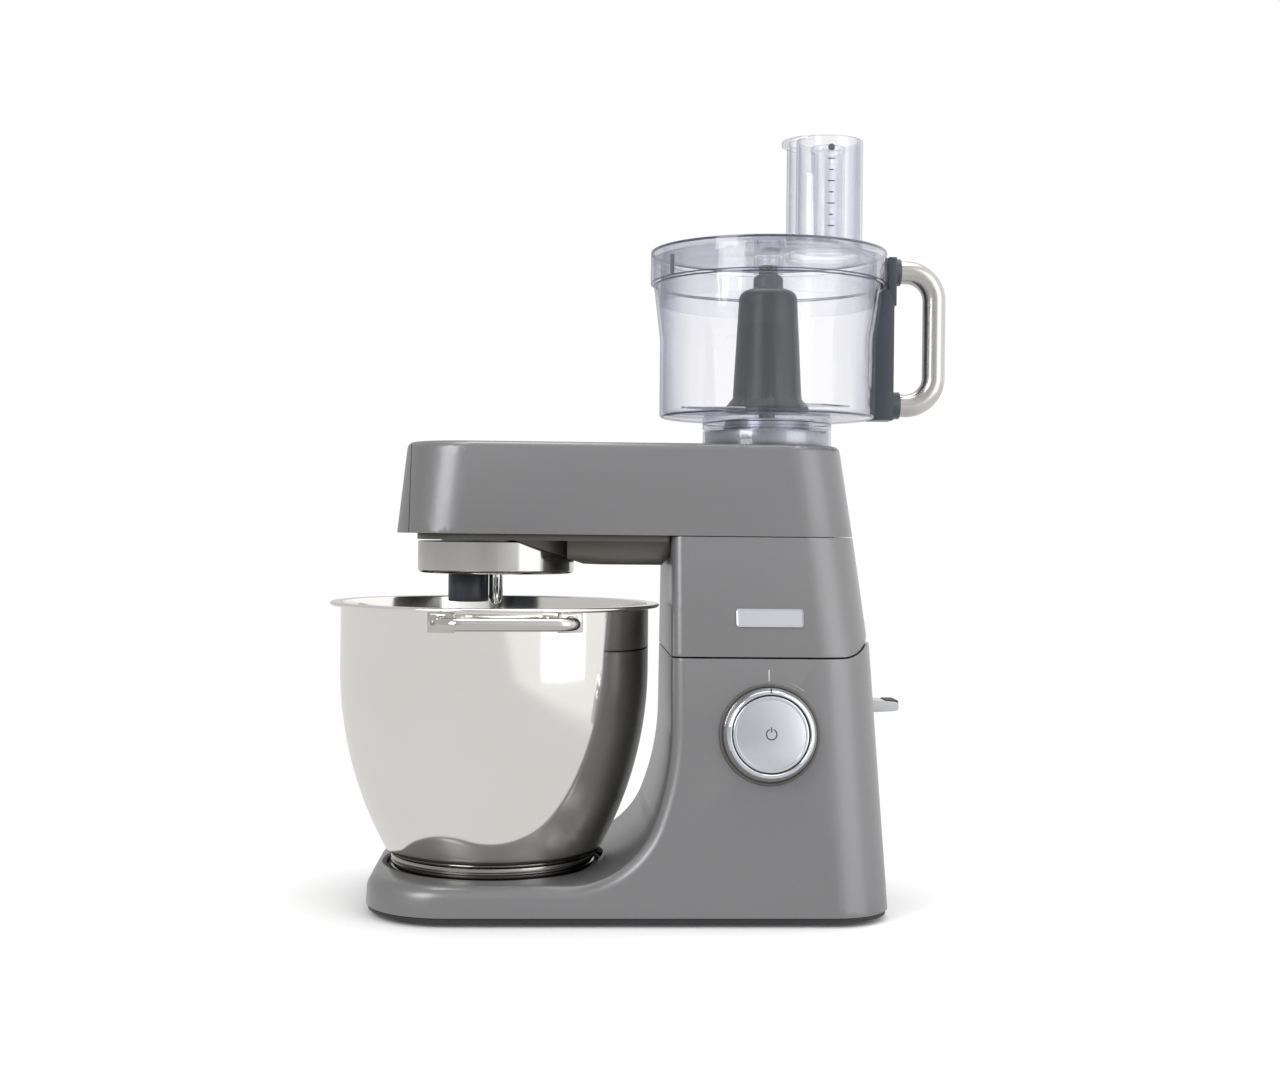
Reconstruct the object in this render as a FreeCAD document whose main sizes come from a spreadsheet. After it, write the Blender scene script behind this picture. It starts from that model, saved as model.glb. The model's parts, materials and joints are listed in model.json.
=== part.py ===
"""Kitchen machine with a tilting head, a mixing bowl and a food processor on its rear outlet.

Millimetres, +Z up, origin on the table below the centre of the machine's box. The machine's head
points along -X, its dial faces -Y. Every driving size is a named cell of the sheet "dims".
"""
import FreeCAD, Part
import math
import os
import re

import Sketcher
from FreeCAD import Placement, Rotation, Vector

DRIVING = {
    # main axes
    "bowl_x": -110.0, "fp_x": 97.0, "hinge_x": 145.0, "hinge_z": 214.0,
    # base and column
    "foot_z": 3.5, "casing_z": 7.0, "foot_top_z": 28.0, "seam_low_z": 190.0, "seam_up_z": 277.0,
    "head_top_z": 345.0, "wall": 4.0, "base_front_x": -201.0, "base_rear_x": 181.0,
    "base_half_y": 111.5, "mid_front_x": -192.0, "mid_rear_x": 170.0, "mid_half_y": 86.5,
    "base_corner": 62.0, "rear_corner": 44.0, "face_x": 20.0, "throat_x": -54.0,
    "throat_arc": 66.0, "throat_turn": 70.0, "edge_round": 10.0,
    # head
    "head_front_x": -183.5, "head_rear_x": 159.0, "head_half_y": 72.0, "top_front_x": -177.0,
    "top_rear_x": 150.0, "top_half_y": 65.0, "head_corner": 50.0, "head_round": 5.0,
    "cover_x": -172.0, "hinge_skin": 24.0, "hinge_gap": 1.3, "pin_radius": 6.0,
    # hub and gears
    "hub_radius": 59.5, "hub_low_z": 247.0, "hub_top_z": 271.0, "orbit": 21.0,
    "socket_radius": 15.3, "socket_low_z": 225.0, "socket_bore": 6.5, "pulley_x": -72.5,
    "gear_z": 294.0, "gear_face": 11.0, "belt_z": 318.0, "belt_width": 10.0,
    "big_pulley": 56.0, "small_pulley": 14.0, "belt_thick": 2.0,
    # mixing bowl
    "rim_radius": 125.0, "rim_z": 225.0, "bowl_radius": 117.0, "bowl_straight_z": 175.0,
    "bowl_low_radius": 82.0, "bowl_low_z": 39.0, "bowl_floor_z": 33.2, "bowl_sheet": 1.2,
    "bowl_foot_radius": 77.7, "bowl_handle_y": 147.0, "bowl_handle_z": 215.0,
    "bowl_rod": 4.7, "bowl_handle_turn": 6.0,
    # controls
    "dial_x": 90.0, "dial_z": 135.0, "dial_radius": 33.2, "button_radius": 27.4,
    "lever_x": 158.0, "lever_y": 18.0, "lever_z": 146.0,
    # food processor
    "collar_radius": 49.6, "fp_low_z": 358.5, "fp_base_z": 367.2, "fp_corner": 3.0,
    "fp_floor_z": 370.0, "fp_radius": 83.0, "fp_flare_z": 427.0,
    "fp_rim_z": 469.7, "fp_rim_radius": 88.2, "fp_sheet": 2.5,
    "lid_radius": 90.7, "lid_top_z": 495.0, "tube_x": 139.85, "tube_long": 58.5,
    "tube_wide": 54.0, "tube_top_z": 581.0, "pusher_x": 142.4, "pusher_radius": 24.6,
    "handle_x": 226.15, "handle_rod": 8.85, "handle_low_z": 378.9, "handle_high_z": 481.8,
    "blade_reach": 70.0,
}

doc = FreeCAD.newDocument("kitchen_machine")
sheet = doc.addObject("Spreadsheet::Sheet", "dims")
for row, (name, size) in enumerate(DRIVING.items(), start=1):
    sheet.set(f"A{row}", name)
    sheet.set(f"B{row}", str(size))
    sheet.setAlias(f"B{row}", name)
doc.recompute()

ALIAS = re.compile(r"\b(" + "|".join(sorted(DRIVING, key=len, reverse=True)) + r")\b")
NODES = []


def bound(text):
    """The text as an expression whose aliases are cells of the sheet."""
    return ALIAS.sub(r"dims.\1", str(text))


def value(text):
    """The number that the text stands for."""
    result = sheet.evalExpression(str(text))
    return float(getattr(result, "Value", result))


def bind(item, prop, text):
    """Ties one property of an object to the sheet."""
    item.setExpression(prop, bound(text))


def place(item, x=0, y=0, z=0, axis=None, angle=0):
    """Puts an object at (x, y, z), turned by angle degrees about axis."""
    turn = Rotation(Vector(*axis), angle) if axis else Rotation()
    item.Placement = Placement(Vector(value(x), value(y), value(z)), turn)
    for letter, text in zip("xyz", (x, y, z)):
        bind(item, f"Placement.Base.{letter}", text)
    return item


def turn_to(item, placement):
    """Sets a whole placement on an object whose place follows from a rotation."""
    for letter in "xyz":
        item.setExpression(f"Placement.Base.{letter}", None)
    item.Placement = placement
    return item


def node(item):
    """Marks an object as a finished piece, which is written to a file."""
    NODES.append(item)
    return item


# ---- primitives and booleans ----

def make(kind, label):
    item = doc.addObject(kind, label)
    item.Label = label
    return item


def box(label, x, y, z, dx, dy, dz):
    item = make("Part::Box", label)
    for prop, text in zip(("Length", "Width", "Height"), (dx, dy, dz)):
        bind(item, prop, text)
    return place(item, x, y, z)


TURNS = {"Z": None, "X": ((0, 1, 0), 90), "Y": ((1, 0, 0), -90)}


def rod(label, radius, length, x, y, z, along="Z"):
    """A cylinder that starts at (x, y, z) and runs along +X, +Y or +Z."""
    item = make("Part::Cylinder", label)
    bind(item, "Radius", radius)
    bind(item, "Height", length)
    turn = TURNS[along]
    if turn:
        return place(item, x, y, z, turn[0], turn[1])
    return place(item, x, y, z)


def cut(label, base, *tools):
    tool = tools[0] if len(tools) == 1 else fuse(label + "_tools", *tools)
    item = make("Part::Cut", label)
    item.Base, item.Tool = base, tool
    return item


def fuse(label, *parts):
    item = make("Part::MultiFuse", label)
    item.Shapes = list(parts)
    return item


def common(label, *parts):
    item = make("Part::MultiCommon", label)
    item.Shapes = list(parts)
    return item


def ring(label, outer, inner, length, x, y, z, along="Z"):
    solid = rod(label + "_outer", outer, length, x, y, z, along)
    hole = rod(label + "_bore", inner, length, x, y, z, along)
    return cut(label, solid, hole)


def rounded(label, base, radius, wanted):
    """Rounds the edges of base whose middle point passes the test wanted(point, edge)."""
    doc.recompute()
    picked = []
    for number, edge in enumerate(base.Shape.Edges, start=1):
        middle = edge.valueAt((edge.FirstParameter + edge.LastParameter) / 2)
        if wanted(middle, edge):
            picked.append((number, value(radius), value(radius)))
    item = make("Part::Fillet", label)
    item.Base = base
    item.Edges = picked
    return item


# ---- sketches ----

def role_plane(body, role):
    return next(f for f in body.Origin.OriginFeatures if f.Role == role)


def new_sketch(body, role, lift=0):
    sketch = body.newObject("Sketcher::SketchObject", body.Label + "_sketch")
    sketch.AttachmentSupport = [(role_plane(body, role), "")]
    sketch.MapMode = "FlatFace"
    sketch.AttachmentOffset = Placement(Vector(0, 0, value(lift)), Rotation())
    bind(sketch, "AttachmentOffset.Base.z", lift)
    return sketch


def arc_edge(start, end, radius, sense):
    """The short arc from start to end: counter-clockwise when sense is 1, clockwise when -1."""
    if sense < 0:
        start, end = end, start
    chord = end - start
    side = Vector(-chord.y, chord.x, 0).normalize()
    drop = math.sqrt(max(radius ** 2 - (chord.Length / 2) ** 2, 0))
    centre = (start + end) * 0.5 + side * drop
    first = math.atan2(start.y - centre.y, start.x - centre.x)
    last = math.atan2(end.y - centre.y, end.x - centre.x)
    return Part.ArcOfCircle(Part.Circle(centre, Vector(0, 0, 1), radius), first, last)


def draw(sketch, steps):
    """Draws a closed outline. A step is (x, y), or (x, y, radius, sense) to arrive by an arc."""
    spots = [Vector(value(step[0]), value(step[1]), 0) for step in steps]
    kept = [n for n in range(len(steps)) if (spots[n] - spots[n - 1]).Length > 1e-6]
    rules, bindings, ends = [], [], []
    for order, n in enumerate(kept):
        start, end, step = spots[kept[order - 1]], spots[n], steps[n]
        if len(step) == 4:
            geo = sketch.addGeometry(arc_edge(start, end, value(step[2]), step[3]), False)
            rules.append(Sketcher.Constraint("Radius", geo, value(step[2])))
            bindings.append((len(rules) - 1, step[2]))
            ends.append((geo, 1, 2) if step[3] > 0 else (geo, 2, 1))
        else:
            geo = sketch.addGeometry(Part.LineSegment(start, end), False)
            ends.append((geo, 1, 2))
    for order, n in enumerate(kept):
        geo, _, last = ends[order]
        following = ends[(order + 1) % len(ends)]
        rules.append(Sketcher.Constraint("Coincident", geo, last, following[0], following[1]))
        for kind, axis, text, size in (("DistanceX", -2, steps[n][0], spots[n].x),
                                       ("DistanceY", -1, steps[n][1], spots[n].y)):
            if abs(size) < 1e-9:
                rules.append(Sketcher.Constraint("PointOnObject", geo, last, axis))
            else:
                rules.append(Sketcher.Constraint(kind, -1, 1, geo, last, size))
                bindings.append((len(rules) - 1, text))
    sketch.addConstraint(rules)
    for index, text in bindings:
        sketch.setExpression(f"Constraints[{index}]", bound(text))


def new_body(label):
    body = make("PartDesign::Body", label)
    return body


def turned(label, profile, x=0, y=0, z=0, axis=None, angle=0):
    """A body turned about its own upright axis; the profile holds (radius, height) steps."""
    body = new_body(label)
    sketch = new_sketch(body, "XZ_Plane")
    draw(sketch, profile)
    turn = body.newObject("PartDesign::Revolution", label + "_turn")
    turn.Profile = sketch
    turn.ReferenceAxis = (sketch, ["V_Axis"])
    turn.Angle = 360
    sketch.Visibility = False
    return place(body, x, y, z, axis, angle)


def slab(label, outline, low, height, x=0, y=0, z=0, axis=None, angle=0):
    """A flat outline in the XY plane, padded upwards from low."""
    body = new_body(label)
    sketch = new_sketch(body, "XY_Plane", low)
    draw(sketch, outline)
    pad = body.newObject("PartDesign::Pad", label + "_pad")
    pad.Profile = sketch
    bind(pad, "Length", height)
    return place(body, x, y, z, axis, angle)


def side_slab(label, outline, width, y=0):
    """An outline in the XZ plane, padded to both sides of the plane at y."""
    body = new_body(label)
    sketch = new_sketch(body, "XZ_Plane")
    draw(sketch, outline)
    pad = body.newObject("PartDesign::Pad", label + "_pad")
    pad.Profile = sketch
    pad.Midplane = True
    bind(pad, "Length", width)
    return place(body, 0, y, 0)


def round_rect(x0, x1, half, front, rear):
    """A rounded rectangle's steps: front is the corner radius at x0, rear the one at x1."""
    return [(f"{x0} + {front}", f"-({half})"),
            (f"{x1} - ({rear})", f"-({half})"),
            (x1, f"-({half}) + {rear}", rear, 1),
            (x1, f"{half} - ({rear})"),
            (f"{x1} - ({rear})", half, rear, 1),
            (f"{x0} + {front}", half),
            (x0, f"{half} - ({front})", front, 1),
            (x0, f"-({half}) + {front}"),
            (f"{x0} + {front}", f"-({half})", front, 1)]


def tapered(label, sections):
    """A loft through rounded rectangles: each section is (z, x0, x1, half, front, rear)."""
    body = new_body(label)
    sketches = []
    for section in sections:
        sketch = new_sketch(body, "XY_Plane", section[0])
        draw(sketch, round_rect(*section[1:])[1:])
        sketches.append(sketch)
    loft = body.newObject("PartDesign::AdditiveLoft", label + "_loft")
    loft.Profile = sketches[0]
    loft.Sections = sketches[1:]
    loft.Ruled = True
    return body


def bent_rod(label, route, bends, radius):
    """A round rod along straight runs joined by tangent arcs; the route is in its own XY plane."""
    spots = [Vector(value(x), value(y), 0) for x, y in route]
    edges, start = [], spots[0]
    for before, corner, after, bend in zip(spots, spots[1:], spots[2:], bends):
        back, ahead = (before - corner).normalize(), (after - corner).normalize()
        half = back.getAngle(ahead) / 2
        reach = value(bend) / math.tan(half)
        first, last = corner + back * reach, corner + ahead * reach
        bisector = (back + ahead).normalize()
        middle = corner + bisector * (value(bend) / math.sin(half) - value(bend))
        edges.append(Part.LineSegment(start, first).toShape())
        edges.append(Part.Arc(first, middle, last).toShape())
        start = last
    edges.append(Part.LineSegment(start, spots[-1]).toShape())
    path = Part.Wire(edges)
    circle = Part.Wire(Part.Circle(spots[0], spots[1] - spots[0], value(radius)).toShape())
    item = make("Part::Feature", label)
    item.Shape = path.makePipeShell([circle], True, False)
    return item


# ---- casings ----

SLOPE_LOW = "(base_half_y - mid_half_y) / (seam_low_z - casing_z)"
SLOPE_UP = "(mid_half_y - head_half_y) / (seam_up_z - seam_low_z)"


def lower_envelope(label, inset):
    return tapered(label, [
        ("casing_z - 1", f"base_front_x + {inset}", f"base_rear_x - {inset}",
         f"base_half_y - {inset}", f"base_corner - {inset}", f"rear_corner - {inset}"),
        ("hinge_z", f"mid_front_x + {inset}", f"mid_rear_x - 1 - {inset}",
         f"mid_half_y - 3.3 - {inset}", f"base_corner - {inset}", f"rear_corner - {inset}")])


def upper_envelope(label, inset):
    return tapered(label, [
        ("seam_low_z - 1", f"-20 + {inset}", f"mid_rear_x - {inset}",
         f"mid_half_y - {inset}", f"9 - {inset}", f"rear_corner - {inset}"),
        ("seam_up_z", f"-20 + {inset}", f"head_rear_x - {inset}",
         f"head_half_y - {inset}", f"9 - {inset}", f"rear_corner - {inset}")])


def head_envelope(label, inset, drop, rounding):
    """The head's tapering form; its top edge is rounded off over that height when asked."""
    sections = [("seam_up_z", f"head_front_x + {inset}", f"head_rear_x - {inset}",
                 f"head_half_y - {inset}", f"head_corner - {inset}", f"rear_corner - {inset}")]
    steps = ((1.0, 0.0), (0.5, 0.134), (0.134, 0.5), (0.0, 1.0)) if rounding else ((0.0, 0.0),)
    for below, inward in steps:
        deep = f"({below} * head_round)"
        slim = f"({inset} + {inward} * head_round)"
        sections.append((f"head_top_z - {drop} - {deep}", f"top_front_x + {slim}",
                         f"top_rear_x - {slim}", f"top_half_y - {slim}",
                         f"head_corner - {slim}", f"rear_corner - {slim}"))
    return tapered(label, sections)


def throat_steps(inset):
    """The lower casing seen from the side, from its front toe to its rear top."""
    turn = "throat_turn * 1deg"
    foot = f"foot_top_z - {inset}"
    arc_low = f"(throat_arc + {inset})"
    knee_x = f"throat_x + {arc_low} * sin({turn})"
    knee_z = f"foot_top_z + throat_arc - {arc_low} * cos({turn})"
    wide = "((face_x - throat_x - throat_arc * sin(%s)) / (1 - cos(90deg - %s)))" % (turn, turn)
    arc_high = f"({wide} + {inset})"
    end_z = f"foot_top_z + throat_arc * (1 - cos({turn})) + {wide} * sin(90deg - {turn})"
    return [(f"face_x + {inset}", end_z), (knee_x, knee_z, arc_high, -1),
            ("throat_x", foot, arc_low, -1)]


def lower_casing():
    """The base and the lower half of the column: one hollow casting, open below."""
    gap_arc = "hinge_skin + hinge_gap"
    lip_z = "hinge_z - 15.5"
    lip_x = f"hinge_x + sqrt(({gap_arc})^2 - 15.5^2)"
    side = side_slab("lower_casing_side", [
        ("-210", "casing_z"), ("190", "casing_z"), ("190", lip_z), (lip_x, lip_z),
        ("hinge_x", f"hinge_z - ({gap_arc})", gap_arc, -1),
        ("face_x", f"hinge_z - ({gap_arc})")] + throat_steps("0") + [("-210", "foot_top_z")], "260")
    outer = common("lower_casing_outer", side, lower_envelope("lower_casing_plan", "0"))
    smooth = rounded("lower_casing_smooth", outer, "edge_round", on_front_edges)
    hollow_side = side_slab("lower_hollow_side", [
        ("-210", "casing_z - 1"), ("190", "casing_z - 1"),
        ("190", f"hinge_z - ({gap_arc}) - wall"), ("face_x + wall", f"hinge_z - ({gap_arc}) - wall")]
        + throat_steps("wall") + [("-210", "foot_top_z - wall")], "260")
    hollow = common("lower_hollow", hollow_side, lower_envelope("lower_hollow_plan", "wall"))
    seat = rod("seat_hole", "84", "20", "bowl_x", "0", "foot_top_z - 8")
    slots = [box(f"bracket_slot_{side_name}", "hinge_x - 17", y, "hinge_z - 40", "34", "9", "30")
             for side_name, y in (("front", "-47.5"), ("rear", "38.5"))]
    lever = box("lever_slot", "lever_x + 6", "lever_y - 16", "lever_z - 10", "30", "32", "17.5")
    latch = box("latch_slot", "66", "lever_y - 8", "hinge_z - 40", "26", "16", "30")
    gland = rod("gland_hole", "8", "30", "155", "-40", "34", "X")
    dial = rod("dial_hole", "7.5", "10", "0", "0", "0")
    shift = face_shift(-7)
    place(dial, "dial_x", f"{dial_y()} + {shift[0]}", f"dial_z + {shift[1]}", *DIAL_TURN)
    return node(cut("lower_casing", smooth, hollow, seat, *slots, lever, latch, gland, dial))


def on_front_edges(point, edge):
    """True for the edges round the toe, along the throat and up the bowl side of the column."""
    top = value("hinge_z - hinge_skin - hinge_gap")
    if point.z > top - 0.5 or point.z < value("foot_top_z") - 0.1:
        return False
    if point.x < value("base_front_x") + 20:
        return True
    tangent = edge.tangentAt((edge.FirstParameter + edge.LastParameter) / 2)
    crosswise = abs(tangent.y) > 0.99
    return point.x < value("face_x") + 0.1 and not crosswise


def dial_y():
    return f"-(base_half_y - (dial_z - casing_z) * {SLOPE_LOW})"


FACE_TILT = math.degrees(math.atan(value(SLOPE_LOW)))
DIAL_TURN = ((1, 0, 0), 90 - FACE_TILT)


def face_shift(distance):
    """The (y, z) step along the outward normal of the dial's sloping face."""
    tilt = math.radians(FACE_TILT)
    return -distance * math.cos(tilt), distance * math.sin(tilt)


def upper_casing():
    """The upper half of the column, which tilts with the head: closed below, open above."""
    side = side_slab("upper_casing_side", [
        ("face_x", "seam_low_z"), ("hinge_x", "seam_low_z"),
        ("hinge_x + hinge_skin", "hinge_z", "hinge_skin", 1),
        ("hinge_x + hinge_skin", "seam_up_z - 0.6"), ("face_x", "seam_up_z - 0.6")], "260")
    outer = common("upper_casing_outer", side, upper_envelope("upper_casing_plan", "0"))
    smooth = rounded("upper_casing_smooth", outer, "edge_round - 1", lambda point, edge:
                     abs(point.x - value("face_x")) < 0.1 and abs(point.y) > 60)
    inner = "(hinge_skin - wall)"
    hollow_side = side_slab("upper_hollow_side", [
        ("face_x + wall", "seam_low_z + wall"), ("hinge_x", "seam_low_z + wall"),
        (f"hinge_x + {inner}", "hinge_z", inner, 1),
        (f"hinge_x + {inner}", "seam_up_z + 1"), ("face_x + wall", "seam_up_z + 1")], "260")
    hollow = common("upper_hollow", hollow_side, upper_envelope("upper_hollow_plan", "wall"))
    slots = [box(f"arm_slot_{side_name}", "hinge_x - 17", y, "hinge_z - 28", "44", "9", "20.4")
             for side_name, y in (("front", "-47.5"), ("rear", "38.5"))]
    latch = box("catch_slot", "64", "lever_y - 9", "seam_low_z - 2", "36", "18", "6")
    return node(cut("upper_casing", smooth, hollow, *slots, latch))


def head_casing():
    """The head's long shell, open below, with the cover cut from its front end."""
    smooth = head_envelope("head_outer", "0", "0", True)
    hollow = head_envelope("head_hollow", "wall", "wall", False)
    front = box("front_slice", "-200", "-100", "270", "cover_x + 200", "200", "90")
    inner_limit = box("front_wall", "-200", "-100", "270", "cover_x + wall + 200", "200", "90")
    cavity = cut("head_cavity", hollow, inner_limit)
    outlet = rod("outlet_hole", "44", "20", "fp_x", "0", "head_top_z - 15")
    slow = rod("slow_hole", "19", "20", "cover_x - 5", "0", "311", "X")
    node(cut("head_casing", smooth, front, cavity, outlet, slow))
    keep = box("cover_slice", "-200", "-100", "270", "cover_x + 200 - 0.4", "200", "90")
    cap = common("cover_cap", smooth, keep)
    pocket = rod("cover_pocket", "26", "12", "cover_x - 5.5", "0", "311", "X")
    node(cut("outlet_cover", cap, pocket))


def head_underside():
    """The dark tray under the head, with its belly beside the hub."""
    tray = slab("underside_tray", round_rect("-168", "face_x - 0.4", "66", "40", "4"),
                "seam_up_z - 4.6", "4.5")
    belly = side_slab("underside_belly", [
        ("-56", "seam_up_z - 4.6"), ("-56", "259.4"), ("-44", "255.4"),
        ("-30", "255"), ("14", "255"), ("face_x - 0.4", "261"),
        ("face_x - 0.4", "seam_up_z - 4.6")], "112")
    soft = rounded("underside_soft", belly, "8", lambda point, edge:
                   abs(abs(point.y) - 56) < 0.1 and point.z < 272 and point.x < 18
                   and point.x > -43)
    shroud = common("underside_shroud",
                    ring("shroud_ring", "hub_radius + 5", "hub_radius + 1.5", "20", "bowl_x", "0", "254"),
                    side_slab("shroud_side", [("-98", "274"), ("-98", "273.4"), ("-36", "252.8"),
                                              ("-36", "274")], "140"))
    room = rod("underside_hub_room", "hub_radius + 1.5", "22", "bowl_x", "0", "250")
    whole = fuse("underside_whole", tray, cut("underside_lower", fuse("underside_low", soft, shroud), room))
    hole = rod("underside_hole", "48.3", "20", "bowl_x", "0", "265")
    node(cut("head_underside", whole, hole))


# ---- base pieces ----

def base_pieces():
    outline = round_rect("base_front_x + 1.5", "base_rear_x - 1.5", "base_half_y - 1.5",
                         "base_corner - 1.5", "rear_corner - 1.5")
    plate = slab("base_sheet", outline, "foot_z", "casing_z - foot_z")
    spots = [("-150", "-60"), ("-150", "60"), ("140", "-75"), ("140", "75")]
    for number, (x, y) in enumerate(spots, start=1):
        node(turned(f"rubber_foot_{number}", [("0", "0"), ("12", "0"), ("14", "1.2", "2.2", 1),
                                              ("14", "foot_z"), ("0", "foot_z")], x, y))
    vents = [box(f"vent_{n}", f"40 + {n} * 9", "-30", "0", "4", "60", "10") for n in range(6)]
    node(cut("base_plate", plate, *vents))
    floor = "foot_top_z - 4.1"
    node(turned("bowl_seat", [
        ("0", "foot_top_z - 8"), ("85.5", "foot_top_z - 8"), ("85.5", floor), ("83.8", floor),
        ("83.8", "foot_top_z - 0.4"), ("81", "foot_top_z - 0.4"), ("80.6", f"{floor} + 1"),
        ("80.6", floor), ("66", floor), ("66", "foot_top_z - 6"), ("0", "foot_top_z - 6")], "bowl_x"))


def hinge_pieces():
    arms = []
    for side_name, y in (("front", "-46"), ("rear", "40")):
        arms.append(rod(f"arm_eye_{side_name}", "14", "6", "hinge_x", y, "hinge_z", "Y"))
        arms.append(box(f"arm_stem_{side_name}", "hinge_x - 7", y, "112", "14", "6",
                        "hinge_z - 112"))
    bridge = box("arm_bridge", "hinge_x - 25", "-46", "110", "45", "92", "7")
    bore = rod("arm_bore", "pin_radius", "130", "hinge_x", "-65", "hinge_z", "Y")
    node(cut("hinge_bracket", fuse("arm_block", *arms, bridge), bore))
    node(rod("hinge_pin", "pin_radius", "114", "hinge_x", "-57", "hinge_z", "Y"))
    ears = []
    for side_name, y in (("front", "-55"), ("rear", "49")):
        ears.append(rod(f"ear_eye_{side_name}", "14", "6", "hinge_x", y, "hinge_z", "Y"))
        ears.append(box(f"ear_stem_{side_name}", "hinge_x - 24", y, "hinge_z - 6", "20", "6", "74.5"))
    bar = box("ear_bar", "hinge_x - 24", "-55", "277", "20", "110", "5.5")
    hole = rod("ear_bore", "pin_radius + 0.05", "130", "hinge_x", "-65", "hinge_z", "Y")
    node(cut("head_hinge_frame", fuse("ear_block", *ears, bar), hole))


def control_pieces():
    """The dial, its button and bezel, and the electronics behind them."""
    def on_face(item, distance="0"):
        shift = face_shift(float(distance))
        return place(item, "dial_x", f"{dial_y()} + {shift[0]}", f"dial_z + {shift[1]}", *DIAL_TURN)

    bezel = turned("dial_bezel", [
        ("dial_radius + 0.7", "0.02"), ("36.4", "0.02"), ("36.4", "1.2"), ("35.6", "2.2"),
        ("dial_radius + 1.1", "2.2"), ("dial_radius + 0.7", "1.8")])
    node(on_face(bezel))
    dial = turned("speed_dial", [
        ("3.6", "-16"), ("6.5", "-16"), ("6.5", "1"), ("dial_radius - 1.4", "1"),
        ("dial_radius", "2.4"), ("dial_radius", "7.6"), ("dial_radius - 3.6", "12"),
        ("button_radius + 1.4", "12.6"), ("button_radius + 0.6", "11.8"),
        ("button_radius + 0.6", "2.6"), ("3.6", "2.6")])
    node(on_face(dial))
    button = turned("start_button", [
        ("0", "-20"), ("3", "-20"), ("3", "5.6"), ("button_radius - 1", "5.6"),
        ("button_radius", "6.6"), ("button_radius", "10.2"), ("button_radius - 1.2", "11.2"),
        ("0", "11.2")])
    node(on_face(button))
    encoder = turned("speed_encoder", [("7.2", "-26"), ("15", "-26"), ("15", "-6"), ("7.2", "-6")])
    node(on_face(encoder))
    board = box("board_sheet", "40", "-62", "70", "98", "1.6", "100")
    parts = [board]
    for number, (x, z, wide, tall) in enumerate((("46", "76", "24", "16"), ("80", "76", "14", "22"),
                                                 ("104", "80", "26", "30"), ("48", "148", "34", "9"))):
        parts.append(box(f"board_part_{number}", x, "-60.5", z, wide, "14", tall))
    node(fuse("control_board", *parts))
    gland = turned("cord_gland", [
        ("4.2", "-8"), ("11", "-8"), ("11", "-0.5"), ("7.8", "-0.5"), ("7.8", "5.6"),
        ("11.4", "5.6"), ("10.8", "6.8"), ("4.2", "6.8")],
        "base_rear_x - 6", "-40", "34", (0, 1, 0), 90)
    node(gland)


def lever_pieces():
    pivot = rod("lever_eye", "7", "28", "lever_x", "lever_y - 14", "lever_z", "Y")
    arm = side_slab("lever_arm", [
        ("lever_x - 20", "lever_z - 3"), ("lever_x", "lever_z - 3.5"), ("lever_x + 20", "lever_z - 3.5"),
        ("lever_x + 23", "lever_z - 5"), ("lever_x + 42", "lever_z - 4"),
        ("lever_x + 45", "lever_z - 1", "3", 1), ("lever_x + 43", "lever_z + 3", "4", 1),
        ("lever_x + 22", "lever_z + 4.5"), ("lever_x", "lever_z + 3.5"),
        ("lever_x - 20", "lever_z + 3")], "28", "lever_y")
    bore = rod("lever_bore", "3.05", "40", "lever_x", "lever_y - 20", "lever_z", "Y")
    node(cut("head_release_lever", fuse("lever_block", pivot, arm), bore))
    node(rod("lever_pin", "3", "36", "lever_x", "lever_y - 18", "lever_z", "Y"))
    hook_pivot = ("84", "158")
    eye = rod("hook_eye", "7", "8", hook_pivot[0], "lever_y - 4", hook_pivot[1], "Y")
    hook = side_slab("hook_arm", [
        ("80", "158"), ("88", "158"), ("84", "190"), ("86.5", "192"), ("86.5", "194"),
        ("83", "198"), ("79", "198")], "8", "lever_y")
    tail = side_slab("hook_tail", [("84", "152"), ("118", "146"), ("118", "150"), ("84", "160")],
                     "8", "lever_y")
    hook_bore = rod("hook_bore", "3.05", "20", hook_pivot[0], "lever_y - 10", hook_pivot[1], "Y")
    node(cut("latch_hook", fuse("hook_block", eye, hook, tail), hook_bore))
    node(rod("latch_pin", "3", "28", hook_pivot[0], "lever_y - 14", hook_pivot[1], "Y"))
    node(box("latch_striker", "88.5", "lever_y - 16", "seam_low_z + 4", "9", "32", "5"))


# ---- drive train ----

def involute_angle(radius, base):
    """The involute function at a radius, for a gear of that base radius."""
    if radius <= base:
        return 0.0
    angle = math.acos(base / radius)
    return math.tan(angle) - angle


def gear_shape(teeth, module, addendum, dedendum, face, play, turn=0.0):
    """A spur gear blank standing on its own origin; play thins each flank (or thickens it)."""
    pitch = teeth * module / 2
    base = pitch * math.cos(math.radians(20))
    root, tip = pitch - dedendum * module, pitch + addendum * module
    points = []
    for tooth in range(teeth):
        middle = math.radians(turn) + 2 * math.pi * tooth / teeth
        flank = []
        for radius in (root, max(base, root) + 0.01, pitch, tip):
            half = (math.pi / (2 * teeth) + involute_angle(pitch, base)
                    - involute_angle(radius, base) - play / pitch)
            flank.append((radius, half))
        spokes = [(r, middle - a) for r, a in flank] + [(r, middle + a) for r, a in reversed(flank)]
        points += [Vector(r * math.cos(a), r * math.sin(a), 0) for r, a in spokes]
    wire = Part.makePolygon(points + points[:1])
    return Part.Face(wire).extrude(Vector(0, 0, face))


def gear(label, teeth, module, dedendum, bore, x, z, play=0.12, turn=0.0):
    item = make("Part::Feature", label)
    face = value("gear_face")
    blank = gear_shape(teeth, module, 0.7, dedendum, face, play, turn)
    item.Shape = blank.cut(Part.makeCylinder(bore, face))
    item.Placement = Placement(Vector(value(x), 0, value(z)), Rotation())
    return item


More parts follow.
